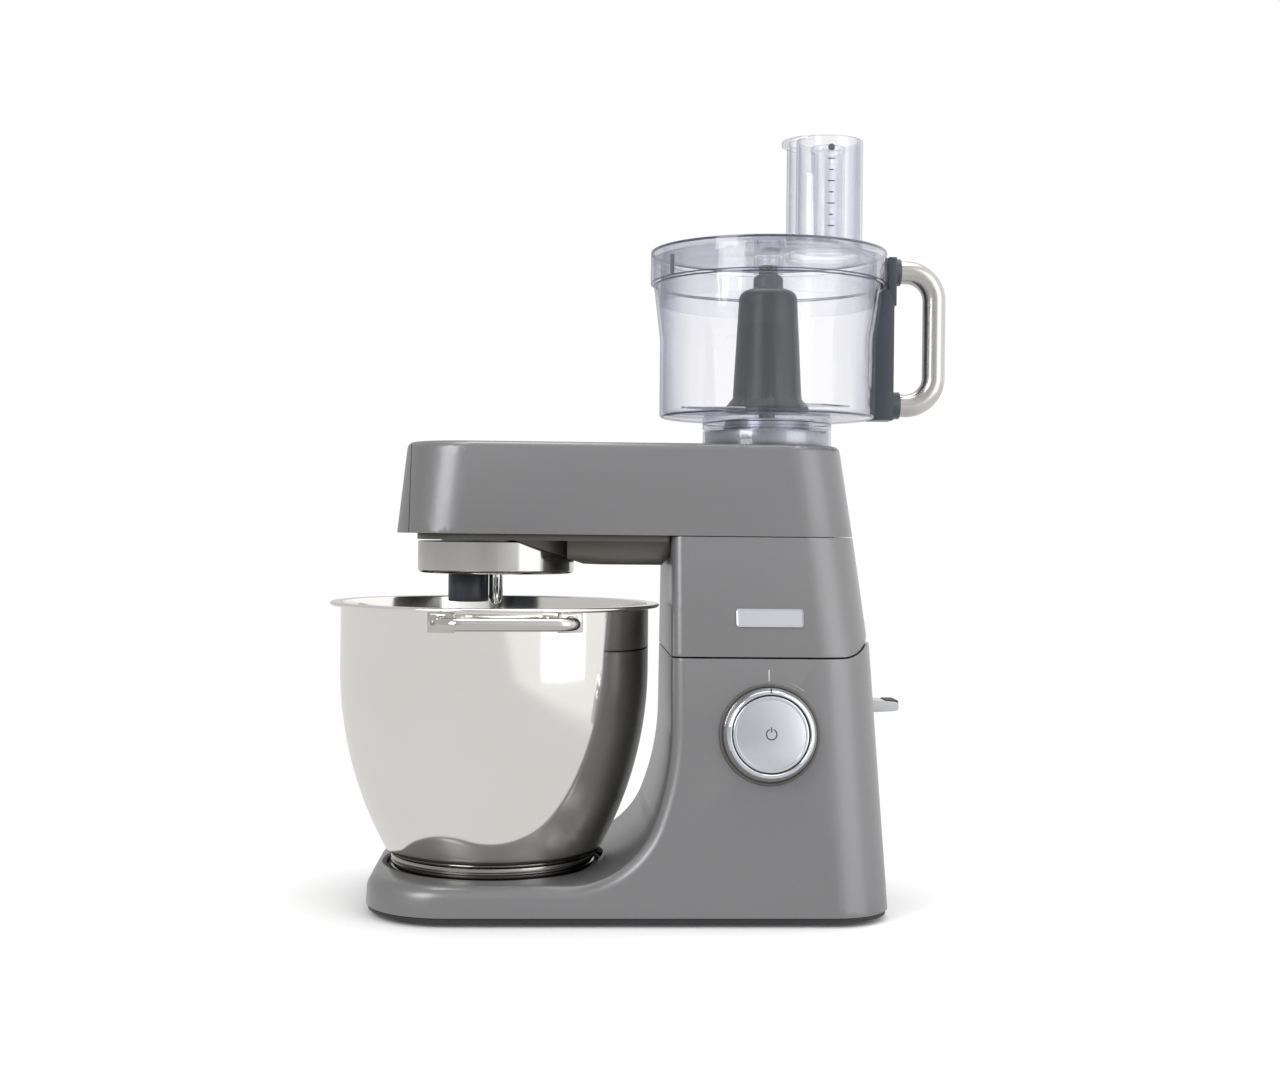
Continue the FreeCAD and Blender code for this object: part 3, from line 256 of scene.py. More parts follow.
def finishes(bowl_axis: Point, processor_axis: Point) -> dict[str, Finish | ClearMoulding]:
    """Lists every finish on the machine.

    Args:
        bowl_axis: a point on the mixing bowl's axis, which its polishing lines turn round.
        processor_axis: a point on the processor's axis.

    Returns:
        The finishes by short name.
    """
    rows = [
        # satin metallic lacquer sprayed on die-cast aluminium: soft highlights, faint flake
        Finish("satin_metallic_lacquer", "818182", "7B7B7D", 0.5, 0.36, grain_mm=0.5,
               grain_depth=0.012, wear_mm=140, gloss_change=0.03, coat=0.25, coat_roughness=0.18),
        # injection-moulded ABS with a fine spark-eroded texture: broad dull sheen. The olive grey
        # is painted shade: the casing's grey as it looks in shadow under the head and round the
        # dial
        Finish("moulded_underside_abs", "5A5751", "504D48", 0.0, 0.42, 1.53, 0.7, 0.03,
               slot="olive_plastic"),
        Finish("textured_black_abs", "1C1D1F", "242527", 0.0, 0.55, 1.53, 0.8, 0.05,
               slot="black_plastic"),
        # mirror-polished 18/8 stainless sheet, spun: fine rings, very sharp reflections
        Finish("polished_stainless", "EDEBE7", "E7E5E0", 1.0, 0.085, None, 0.5, 0.0016,
               Grain.TURNED, 90, 0.02, slot="stainless", axis=bowl_axis),
        # belt-brushed 18/8 stainless tube: reflections smeared round the tube
        Finish("brushed_tube_stainless", "C4C2BF", "B9B7B3", 1.0, 0.24, None, 0.8, 0.002,
               Grain.ALONG_Z, 50, 0.05, slot="stainless"),
        Finish("pressed_band_stainless", "A9A6A1", "97948F", 1.0, 0.16, None, 0.5, 0.003,
               Grain.TURNED, 40, 0.03, slot="stainless", axis=bowl_axis),
        # polished rod, drawn and tumbled; its colour is a shade darker than the sheet beside it as
        # painted shade, for the dark band reflected along each handle
        Finish("polished_rod_stainless", "CFCDC9", "C4C2BD", 1.0, 0.07, None, 0.5, 0.002,
               Grain.EVEN, 40, 0.02, slot="stainless"),
        # decorative chrome plate on zinc and ABS: mirror-like, slightly blue
        Finish("chrome_plate", "DDDFE3", "D2D5DA", 1.0, 0.05, None, 0.8, 0.001, wear_mm=70,
               gloss_change=0.015, slot="chrome", axis=bowl_axis),
        # chrome plate on a spun steel drum: a little softer than on the mouldings, and greyer as
        # painted shade for the dark reflections on the drum
        Finish("chromed_steel_drum", "C0BFBD", "B4B3B1", 1.0, 0.12, None, 0.8, 0.001, wear_mm=70,
               gloss_change=0.015, slot="chrome", axis=bowl_axis),
        # satin-anodised look on moulded ABS: pale, softly metallic
        Finish("satin_silver_abs", "D6D8DE", "CED1D7", 0.9, 0.22, None, 0.4, 0.008,
               gloss_change=0.05, slot="silver_plastic"),
        Finish("grooved_silver_abs", "A6A8AE", "9A9CA3", 0.85, 0.28, None, 0.4, 0.008,
               slot="silver_plastic"),
        Finish("light_grey_abs", "C8CACC", "BDBFC1", 0.0, 0.4, 1.53, 0.6, 0.02,
               slot="light_plastic"),
        # glass-filled polypropylene in dark slate: cool grey, semi-matt
        Finish("slate_polypropylene", "3E454F", "363C45", 0.0, 0.36, 1.49, 0.6, 0.02,
               slot="slate_plastic", axis=processor_axis),
        # acetal moulding in charcoal: darker and a little shinier than the bracket
        Finish("charcoal_acetal", "1B2029", "171B23", 0.0, 0.38, 1.48, 0.6, 0.003,
               gloss_change=0.008, slot="slate_plastic", axis=processor_axis),
        # clear SAN moulding: sharp reflections, walls that turn lilac-grey edge-on
        ClearMoulding("clear_san", "FCFCFD", "B2B4C6"),
        # the same plastic where it is thick and seen along its length: dark lilac lines
        ClearMoulding("smoky_san_edge", "8587A3", "5C5E7C", 0.08, 0.06, 0.3, 0.1),
        Finish("nitrile_rubber", "17181A", "202123", 0.0, 0.7, 1.52, 0.9, 0.06, slot="rubber"),
        # sand- and die-cast aluminium left as cast: pale, frosted, uneven
        Finish("cast_aluminium", "A7A8A9", "919293", 1.0, 0.46, None, 1.1, 0.06,
               slot="cast_aluminium"),
        Finish("turned_steel", "9B9C9E", "87888A", 1.0, 0.24, None, 0.4, 0.01, Grain.TURNED,
               slot="steel", axis=processor_axis),
        Finish("lamination_steel", "6E675F", "5C564F", 0.9, 0.42, None, 0.5, 0.05,
               Grain.TURNED, slot="steel", axis=processor_axis),
        Finish("ground_blade_steel", "C4C6C8", "B2B4B6", 1.0, 0.2, None, 0.4, 0.008,
               Grain.ALONG_X, slot="stainless"),
        Finish("moulded_neoprene", "202020", "2A2A2A", 0.0, 0.6, 1.52, 0.8, 0.08,
               slot="black_plastic"),
        Finish("solder_mask_green", "1F5A3A", "1A4C32", 0.0, 0.3, 1.5, 2.0, 0.02,
               slot="black_plastic"),
        Finish("printed_grey_ink", "C9CACB", "BFC0C1", 0.0, 0.5, 1.5, 0.4, 0.005,
               slot="light_plastic"),
        Finish("printed_dark_ink", "3A3B3F", "44454A", 0.0, 0.45, 1.5, 0.4, 0.005,
               slot="black_plastic"),
    ]
    return {row.name: row for row in rows}


# ---- modelling helpers ----

def only(*pieces: bpy.types.Object) -> None:
    """Selects just these pieces and makes the first one active."""
    if bpy.context.object and bpy.context.object.mode != "OBJECT":
        bpy.ops.object.mode_set(mode="OBJECT")
    bpy.ops.object.select_all(action="DESELECT")
    for piece in pieces:
        piece.select_set(True)
    bpy.context.view_layer.objects.active = pieces[0]


def named(name: str) -> bpy.types.Object:
    """Names the active object and its mesh, and returns it."""
    piece = bpy.context.object
    piece.name = name
    piece.data.name = name
    return piece


def pick(piece: bpy.types.Object, test: Callable[[Vector], bool], mode: str = "VERT") -> int:
    """Selects the vertices, edges or faces whose middle passes a test.

    Args:
        piece: the object, which may be in edit mode.
        test: called with the middle point of each element.
        mode: VERT, EDGE or FACE.

    Returns:
        How many elements were selected.
    """
    only(piece)
    bpy.ops.object.mode_set(mode="EDIT")
    bpy.ops.mesh.select_mode(type=mode)
    bpy.ops.mesh.select_all(action="DESELECT")
    bpy.ops.object.mode_set(mode="OBJECT")
    mesh = piece.data
    found = 0
    if mode == "VERT":
        for vertex in mesh.vertices:
            vertex.select = test(vertex.co)
            found += vertex.select
    elif mode == "EDGE":
        for edge in mesh.edges:
            middle = (mesh.vertices[edge.vertices[0]].co + mesh.vertices[edge.vertices[1]].co) / 2
            edge.select = test(middle)
            found += edge.select
    else:
        for face in mesh.polygons:
            face.select = test(face.center)
            found += face.select
    bpy.ops.object.mode_set(mode="EDIT")
    return found


def apply_modifier(piece: bpy.types.Object, kind: str, **settings: object) -> None:
    """Adds a modifier with these settings and applies it."""
    only(piece)
    modifier = piece.modifiers.new(kind.title(), kind)
    for name, value in settings.items():
        setattr(modifier, name, value)
    bpy.ops.object.modifier_apply(modifier=modifier.name)


def smooth(piece: bpy.types.Object, degrees: float = 32.0) -> bpy.types.Object:
    """Shades a piece smooth except across edges sharper than an angle."""
    only(piece)
    bpy.ops.object.shade_smooth_by_angle(angle=math.radians(degrees))
    return piece


def outward(piece: bpy.types.Object) -> None:
    """Merges doubles and turns every face of a closed piece outwards."""
    only(piece)
    bpy.ops.object.mode_set(mode="EDIT")
    bpy.ops.mesh.select_all(action="SELECT")
    bpy.ops.mesh.remove_doubles(threshold=1e-6)
    bpy.ops.mesh.normals_make_consistent(inside=False)
    bpy.ops.object.mode_set(mode="OBJECT")


def settle(piece: bpy.types.Object) -> bpy.types.Object:
    """Moves a piece's place into its mesh, so that its object stands at the origin."""
    only(piece)
    bpy.ops.object.transform_apply(location=True, rotation=True, scale=True)
    return piece


def joined(name: str, pieces: Sequence[bpy.types.Object]) -> bpy.types.Object:
    """Joins pieces into one object."""
    only(*pieces)
    bpy.ops.object.join()
    return named(name)


def arc(start: float, end: float, steps: int) -> list[float]:
    """Angles in radians from start to end degrees, both included."""
    return [math.radians(start + (end - start) * n / steps) for n in range(steps + 1)]


def turned_piece(name: str, centre: Vector, profile: Sequence[tuple[float, float]],
                 around: int = 128, closed: bool = False) -> bpy.types.Object:
    """Turns a profile about an upright axis by extruding and resizing a circle.

    Args:
        name: the piece's name.
        centre: a point on the axis; heights in the profile start from its z.
        profile: (radius, height) pairs in millimetres; a radius under 0.2 closes the end.
        around: how many sides the circle has.
        closed: whether the last ring joins the first, as in a tube's wall.

    Returns:
        The piece, facing outwards.
    """
    first_radius, first_height = profile[0]
    bpy.ops.object.select_all(action="DESELECT")
    bpy.ops.mesh.primitive_circle_add(
        vertices=around, radius=max(first_radius, 0.1) * MM,
        fill_type="NGON" if first_radius < 0.2 else "NOTHING",
        location=(centre.x, centre.y, centre.z + first_height * MM))
    piece = settle(named(name))
    only(piece)
    bpy.ops.object.mode_set(mode="EDIT")
    bpy.ops.mesh.select_mode(type="VERT")
    bpy.ops.mesh.select_all(action="SELECT")
    radius, height = max(first_radius, 0.1), first_height
    for wide, tall in profile[1:]:
        wide = max(wide, 0.1)
        bpy.ops.mesh.extrude_region_move(
            TRANSFORM_OT_translate={"value": (0, 0, (tall - height) * MM)})
        middle = (centre.x, centre.y, centre.z + tall * MM)
        share = wide / radius
        bpy.ops.transform.resize(value=(share, share, 1), center_override=middle)
        radius, height = wide, tall
    if profile[-1][0] < 0.2:
        bpy.ops.mesh.edge_face_add()
    bpy.ops.object.mode_set(mode="OBJECT")
    if closed:
        bpy.ops.object.mode_set(mode="EDIT")
        bpy.ops.mesh.select_all(action="DESELECT")
        bpy.ops.mesh.select_mode(type="EDGE")
        bpy.ops.mesh.select_non_manifold()
        bpy.ops.mesh.bridge_edge_loops()
        bpy.ops.object.mode_set(mode="OBJECT")
    outward(piece)
    return piece


def place_on(piece: bpy.types.Object, origin: Vector, normal: Vector) -> bpy.types.Object:
    """Moves a piece made about the world's origin so that its +Z points along a normal.

    Args:
        piece: a piece whose local frame is the world's.
        origin: where its origin goes.
        normal: where its +Z goes; its +Y stays as high as it can.

    Returns:
        The piece with its place in its mesh.
    """
    z_axis = normal.normalized()
    x_axis = Vector((0, 0, 1)).cross(z_axis).normalized()
    y_axis = z_axis.cross(x_axis)
    turn = Matrix((x_axis, y_axis, z_axis)).transposed().to_4x4()
    piece.matrix_world = Matrix.Translation(origin) @ turn
    return settle(piece)


@dataclass
class Assembly:
    """A group of pieces that is built and dressed together."""

    frame: dict
    paints: dict[str, Finish | ClearMoulding]
    pieces: list[bpy.types.Object] = field(default_factory=list)

    def dress(self, piece: bpy.types.Object, finish: str, body: str,
              replaces: Iterable[str] = ()) -> bpy.types.Object:
        """Gives a new piece its finish and its body.

        Args:
            piece: the finished piece.
            finish: the finish's name.
            body: the body that it moves with.
            replaces: frame nodes that it stands for.

        Returns:
            The piece.
        """
        row = self.paints[finish]
        piece.data.materials.clear()
        piece.data.materials.append(row.material())
        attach(piece, body)
        if replaces:
            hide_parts(*replaces)
        self.pieces.append(piece)
        LOG.info("%s: %s on %s", piece.name, finish, body)
        return piece

    def coat(self, finish: str, *nodes: str) -> None:
        """Gives frame nodes that keep their shape a finish."""
        made = self.paints[finish].material()
        for name in nodes:
            node = self.frame["nodes"][name]
            node.data.materials.clear()
            node.data.materials.append(made)

    def refine(self, node: str, finish: str, edge_mm: float = 0.5,
               degrees: float = 34.0, flat: float = 0.6) -> bpy.types.Object:
        """Copies a frame node, merges it, softens its sharp edges and shades it smooth.

        Args:
            node: the frame node, which the copy replaces.
            finish: the finish's name.
            edge_mm: how far the soft edge reaches; none when it is zero.
            degrees: edges sharper than this stay edges.
            flat: faces within this many degrees of each other are merged first.

        Returns:
            The dressed copy.
        """
        source = self.frame["nodes"][node]
        body = source["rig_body"]
        only(source)
        bpy.ops.object.duplicate()
        piece = named(node + "_finished")
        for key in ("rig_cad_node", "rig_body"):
            if key in piece:
                del piece[key]
        piece.parent = None
        bpy.ops.object.mode_set(mode="EDIT")
        bpy.ops.mesh.select_all(action="SELECT")
        bpy.ops.mesh.remove_doubles(threshold=2e-5)
        if flat > 0:
            bpy.ops.mesh.dissolve_limited(angle_limit=math.radians(flat))
        bpy.ops.object.mode_set(mode="OBJECT")
        if edge_mm > 0:
            apply_modifier(piece, "BEVEL", width=edge_mm * MM, segments=2,
                           limit_method="ANGLE", angle_limit=math.radians(degrees + 6),
                           use_clamp_overlap=True, miter_outer="MITER_ARC")
        smooth(piece, degrees)
        return self.dress(piece, finish, body, [node])


@dataclass
class Casings(Assembly):
    """The painted castings, the tray under the head and the blank plate."""

    plate_rim_mm: float = 1.1
    plate_thick_mm: float = 1.2
    plate_corner_mm: float = 2.0
    field_margin_mm: float = 1.3
    field_sunk_mm: float = 0.42

    def build(self) -> None:
        """Finishes the castings and frames the blank plate."""
        for node in ("lower_casing", "upper_casing", "head_casing", "outlet_cover"):
            self.refine(node, "satin_metallic_lacquer", 0.7, 40.0)
        # the underside's olive grey is painted shade for the shadow under the head
        self.refine("head_underside", "moulded_underside_abs", 0.8)
        self.plate()

    def plate(self) -> None:
        """Makes the blank plate with a raised chrome rim round a sunk satin field."""
        low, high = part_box("badge_plate")
        middle = (low + high) / 2
        tilt = math.atan2(high.y - low.y, high.z - low.z)
        normal = Vector((0, -math.cos(tilt), math.sin(tilt)))
        wide, tall = high.x - low.x, (high.z - low.z) * 0.985
        deep = self.plate_thick_mm * MM
        bpy.ops.object.select_all(action="DESELECT")
        bpy.ops.mesh.primitive_cube_add(size=1)
        plate = named("badge_frame")
        plate.scale = (wide, tall, deep)
        settle(plate)
        pick(plate, lambda p: abs(p.x) > wide * 0.45 and abs(p.z) < 0.0001, "EDGE")
        bpy.ops.mesh.bevel(offset=self.plate_corner_mm * MM, segments=5)
        bpy.ops.object.mode_set(mode="OBJECT")
        pick(plate, lambda p: p.z > deep * 0.45, "FACE")
        bpy.ops.mesh.inset(thickness=self.plate_rim_mm * MM)
        bpy.ops.transform.translate(value=(0, 0, -0.5 * MM))
        bpy.ops.object.mode_set(mode="OBJECT")
        apply_modifier(plate, "BEVEL", width=0.0002, segments=2, limit_method="ANGLE")
        face = middle - normal * 0.00012
        self.dress(place_on(smooth(plate, 40), face, normal), "chrome_plate", "head",
                   ["badge_plate"])
        bpy.ops.object.select_all(action="DESELECT")
        bpy.ops.mesh.primitive_grid_add(
            x_subdivisions=8, y_subdivisions=2, size=1,
            location=(0, 0, deep / 2 - self.field_sunk_mm * MM))
        infill = named("badge_field")
        margins = 2 * self.field_margin_mm * MM
        infill.scale = (wide - margins, tall - margins, 1)
        settle(infill)
        apply_modifier(infill, "SOLIDIFY", thickness=0.0001, offset=0)
        self.dress(place_on(infill, face, normal), "satin_silver_abs", "head")


@dataclass
class Controls(Assembly):
    """Dial, button, printed scale and release lever."""

    dial_mm: float = 33.2
    button_mm: float = 27.4
    scale_mm: float = 40.0
    crown_mm: float = 12.8
    crown_rise_mm: float = 2.3
    power_mm: float = 4.2
    ink_mm: float = 0.03
    sweep_degrees: tuple[float, float] = (50.0, 85.0)

    def face(self) -> tuple[Vector, Vector]:
        """Returns the dial's centre on the casing and the face's outward normal."""
        joint = next(j for j in self.frame["joints"] if j["name"] == "dial_turn")
        return Vector(joint["pos_m"]), Vector(joint["axis"])

    def build(self) -> None:
        """Builds the dial group on its sloping face."""
        centre, normal = self.face()
        zero = Vector((0, 0, 0))
        r, b = self.dial_mm, self.button_mm
        # the bezel ring takes the dark shade grey: a painted shadow round the dial's edge
        bezel = turned_piece("dial_bezel_ring", zero, [
            (r + 0.7, 0.1), (36.2, 0.1), (36.4, 0.8), (36.0, 1.6), (35.3, 2.1), (r + 1.3, 2.1),
            (r + 0.8, 1.6)], 144, True)
        self.dress(place_on(smooth(bezel, 50), centre, normal), "moulded_underside_abs", "base",
                   ["dial_bezel"])
        ring_profile = [(r - 1.4, 1.0), (r - 0.4, 1.4), (r, 2.4), (r, 4.4), (r - 0.5, 4.7),
                        (r - 0.5, 5.3), (r, 5.6), (r, 7.4), (r - 0.4, 8.2)]
        ring_profile += [(r - 0.4 - 3.2 * n / 5, 8.2 + 4.0 * math.sin(math.radians(18 * n)))
                         for n in range(1, 6)]
        ring_profile += [(b + 1.7, 12.4), (b + 1.2, 12.1), (b + 0.75, 11.3), (b + 0.65, 3.0)]
        ring = turned_piece("dial_ring", zero, ring_profile, 160, True)
        self.dress(place_on(smooth(ring, 35), centre, normal), "chrome_plate", "dial")
        back = turned_piece("dial_back", zero, [
            (3.6, -15.9), (6.4, -15.9), (6.4, 0.6), (r - 1.6, 1.1), (b + 0.7, 2.8), (3.6, 2.6)],
            96, True)
        self.dress(place_on(smooth(back, 35), centre, normal), "grooved_silver_abs", "dial",
                   ["speed_dial"])
        self.pointer(centre, normal)
        button_profile = [(0.1, -20.0), (3.0, -20.0), (3.0, 5.6), (b - 1.0, 5.6), (b, 6.6),
                          (b, 9.9), (b - 0.35, 10.7), (b - 1.1, 11.05), (b - 2.2, 11.0),
                          (b - 2.6, 10.5)]
        flat = b - 2.6
        button_profile += [
            (flat * (1 - n / 8) + 0.1, self.crown_mm - self.crown_rise_mm * (1 - n / 8) ** 2)
            for n in range(1, 9)]
        button = turned_piece("button_disc", zero, button_profile, 144)
        self.dress(place_on(smooth(button, 30), centre, normal), "satin_silver_abs", "button",
                   ["start_button"])
        self.symbol(centre, normal)
        self.scale(centre, normal)
        self.refine("head_release_lever", "light_grey_abs", 0.8)
        self.lever_tip()

    def lever_tip(self) -> None:
        """Adds the dark soft insert on top of the lever's end."""
        low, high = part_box("head_release_lever")
        inward = 5.2 * MM
        bpy.ops.object.select_all(action="DESELECT")
        bpy.ops.mesh.primitive_cube_add(
            size=1, location=(high.x - inward, (low.y + high.y) / 2, high.z - inward))
        tip = named("lever_tip")
        tip.scale = (10.5 * MM, high.y - low.y - 4.0 * MM, 5.0 * MM)
        settle(tip)
        pick(tip, lambda p: True, "EDGE")
        bpy.ops.mesh.bevel(offset=1.4 * MM, segments=4)
        bpy.ops.object.mode_set(mode="OBJECT")
        self.dress(smooth(tip, 50), "textured_black_abs", "release_lever")

    def pointer(self, centre: Vector, normal: Vector) -> None:
        """Adds the small dark mark on the dial's top edge."""
        bpy.ops.object.select_all(action="DESELECT")
        bpy.ops.mesh.primitive_plane_add(
            size=1, location=(0, (self.dial_mm - 2.2) * MM, 12.45 * MM))
        mark = named("dial_pointer")
        mark.scale = (1.1 * MM, 3.4 * MM, 1)
        settle(mark)
        apply_modifier(mark, "SOLIDIFY", thickness=0.0006, offset=0)
        apply_modifier(mark, "BEVEL", width=0.00015, segments=2)
        self.dress(place_on(mark, centre, normal), "printed_dark_ink", "dial")

    def symbol(self, centre: Vector, normal: Vector) -> None:
        """Adds the generic on/off symbol: an open ring and a bar."""
        bpy.ops.object.select_all(action="DESELECT")
        lift = (self.crown_mm + self.ink_mm) * MM
        bpy.ops.mesh.primitive_circle_add(vertices=64, radius=self.power_mm * MM,
                                          location=(0, 0, lift))
        open_ring = settle(named("power_ring"))
        pick(open_ring, lambda p: p.y > 0 and abs(p.x) < 1.6 * MM)
        bpy.ops.mesh.delete(type="VERT")
        bpy.ops.mesh.select_all(action="SELECT")
        bpy.ops.mesh.extrude_edges_move()
        bpy.ops.transform.resize(value=(0.78, 0.78, 1), center_override=(0, 0, lift))
        bpy.ops.object.mode_set(mode="OBJECT")
        bpy.ops.object.select_all(action="DESELECT")
        bpy.ops.mesh.primitive_plane_add(size=1, location=(0, 3.2 * MM, lift))
        bar = named("power_bar")
        bar.scale = (0.9 * MM, 3.8 * MM, 1)
        settle(bar)
        both = joined("power_symbol", [open_ring, bar])
        apply_modifier(both, "SOLIDIFY", thickness=0.00012, offset=0)
        outward(both)
        self.dress(place_on(both, centre, normal), "printed_dark_ink", "button")

    def scale(self, centre: Vector, normal: Vector) -> None:
        """Prints the off mark and a swelling arc round the dial's upper right."""
        radius = self.scale_mm * MM
        lift = 2 * self.ink_mm * MM
        start, end = self.sweep_degrees
        bpy.ops.object.select_all(action="DESELECT")
        bpy.ops.mesh.primitive_circle_add(vertices=180, radius=radius, location=(0, 0, lift))
        band = settle(named("speed_arc"))

        def outside(p: Vector) -> bool:
            """Tells whether a point of the circle lies outside the printed sweep."""
            return not start <= math.degrees(math.atan2(p.y, p.x)) <= end

        pick(band, outside)
        bpy.ops.mesh.delete(type="VERT")
        bpy.ops.mesh.select_all(action="SELECT")
        bpy.ops.mesh.extrude_edges_move()
        pivot = (radius * math.cos(math.radians(end)), radius * math.sin(math.radians(end)), 0)
        bpy.ops.transform.resize(value=(1.06, 1.06, 1), center_override=pivot)
        bpy.ops.object.mode_set(mode="OBJECT")
        bpy.ops.object.select_all(action="DESELECT")
        bpy.ops.mesh.primitive_plane_add(size=1, location=(0, radius + 2.4 * MM, lift))
        tick = named("off_mark")
        tick.scale = (0.9 * MM, 8.0 * MM, 1)
        printed = joined("speed_scale", [band, settle(tick)])
        apply_modifier(printed, "SOLIDIFY", thickness=0.00008, offset=0)
        outward(printed)
        self.dress(place_on(printed, centre, normal), "printed_grey_ink", "base")


@dataclass
class Hub(Assembly):
    """The planetary hub below the head and the socket that it carries round."""

    def build(self) -> None:
        """Finishes the chrome drum, the tool socket and the spindle."""
        # the drum's greyer chrome is painted shade for its dark reflections
        drum = self.refine("planet_hub", "chromed_steel_drum", 0.5, 40.0)
        apply_modifier(drum, "WEIGHTED_NORMAL", keep_sharp=True, weight=50)
        self.refine("tool_socket", "slate_polypropylene", 0.6)
        self.refine("hub_spindle", "chrome_plate", 0.0)


@dataclass
class MixingBowl(Assembly):
    """The stainless bowl, its foot band and its two loop handles."""

    sheet_mm: float = 1.2
    body_mm: float = 117.0
    low_mm: float = 82.0
    straight_mm: float = 141.8
    around: int = 192
    handle_degrees: float = 6.0
    weld_places_mm: tuple[float, ...] = (-51.5, -39.6, 39.6, 51.5)

    def wall(self, inset: float) -> list[tuple[float, float]]:
        """Points of the bowl's swelling side, from its lower edge to the straight part.

        Args:
            inset: how far inside the outer surface, in millimetres.

        Returns:
            (radius, height) pairs above the bowl's floor.
        """
        drop = self.body_mm - self.low_mm
        start = 5.8
        tall = self.straight_mm - start
        big = (drop * drop + tall * tall) / (2 * drop)
        last = math.degrees(math.asin(tall / big))
        return [(self.body_mm - big + (big - inset) * math.cos(a),
                 self.straight_mm - (big - inset) * math.sin(a))
                for a in reversed(arc(0, last, 22))]

    def build(self) -> None:
        """Builds the bowl with its rolled rim, and finishes band and handles."""
        low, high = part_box("mixing_bowl")
        centre = Vector(((low.x + high.x) / 2, 0, low.z))
        tall = (high.z - low.z) / MM
        rim = (high.x - low.x) / 2 / MM
        thick = self.sheet_mm
        profile = [(0.1, 0.0), (60, 0.0), (72, 0.05), (74.5, 0.35), (78, 2.8)]
        profile += self.wall(0.0)
        profile += [(self.body_mm, tall - 3.6), (self.body_mm + 0.4, tall - 3.1),
                    (rim - 1.6, tall - 2.9)]
        profile += [(rim - 1.45 + 1.45 * math.cos(a), tall - 1.5 + 1.4 * math.sin(a))
                    for a in arc(-80, 80, 8)]
        profile += [(self.body_mm + 0.6, tall - 0.05), (self.body_mm - thick + 0.2, tall - 0.5),
                    (self.body_mm - thick, tall - 1.6)]
        profile += list(reversed(self.wall(thick)))
        profile += [(78, 4.2), (74, 1.9), (71, thick), (0.1, thick)]
        bowl = turned_piece("mixing_bowl_sheet", centre, profile, self.around)
        self.dress(smooth(bowl, 38), "polished_stainless", "bowl", ["mixing_bowl"])
        self.foot(centre)
        for node in ("bowl_handle_front", "bowl_handle_rear"):
            # the handles' darker stainless is painted shade for their dark reflected band
            self.refine(node, "polished_rod_stainless", 0.3)
            self.welds(node)

    def foot(self, centre: Vector) -> None:
        """Builds the pressed foot band with its two beads."""
        low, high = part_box("foot_band")
        base = Vector((centre.x, 0, low.z))
        radius = (high.x - low.x) / 2 / MM
        tall = (high.z - low.z) / MM
        profile = [(radius - 5.6, 0.2), (radius - 1.0, 0.0), (radius, 0.7)]
        for middle in (2.6, 6.4):
            profile += [(radius - 0.1, middle - 1.2), (radius - 1.2, middle - 0.5),
                        (radius - 1.2, middle + 0.5), (radius - 0.1, middle + 1.2)]
        profile += [(radius, tall - 2.2), (radius - 0.4, tall - 0.6), (radius - 3.7, tall - 2.3),
                    (radius - 5.6, tall - 2.4)]
        band = turned_piece("foot_band_pressing", base, profile, self.around, True)
        self.dress(smooth(band, 40), "pressed_band_stainless", "bowl", ["foot_band"])

    def welds(self, node: str) -> None:
        """Adds the two spot-weld dimples on each end plate of a handle."""
        low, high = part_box(node)
        side = -1 if low.y < 0 else 1
        bowl_low, bowl_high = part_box("mixing_bowl")
        axis = Vector(((bowl_low.x + bowl_high.x) / 2, 0, 0))
        spots = []
        turn = self.handle_degrees + (0 if side < 0 else 180)
        for across in self.weld_places_mm:
            away = math.asin(across / (self.body_mm + 1.6))
            angle = math.radians(turn - 90) + away
            out = Vector((math.cos(angle), math.sin(angle), 0))
            bpy.ops.object.select_all(action="DESELECT")
            bpy.ops.mesh.primitive_circle_add(vertices=20, radius=1.8 * MM, fill_type="NGON")
            spot = named("weld")
            bpy.ops.object.mode_set(mode="EDIT")
            bpy.ops.mesh.inset(thickness=0.6 * MM)
            bpy.ops.transform.translate(value=(0, 0, 0.35 * MM))
            bpy.ops.object.mode_set(mode="OBJECT")
            place_on(spot, axis + out * (self.body_mm + 1.62) * MM
                     + Vector((0, 0, (low.z + high.z) / 2 - 0.5 * MM)), out)
            spots.append(spot)
        welds = joined(node + "_welds", spots)
        self.dress(smooth(welds, 60), "pressed_band_stainless", "bowl")


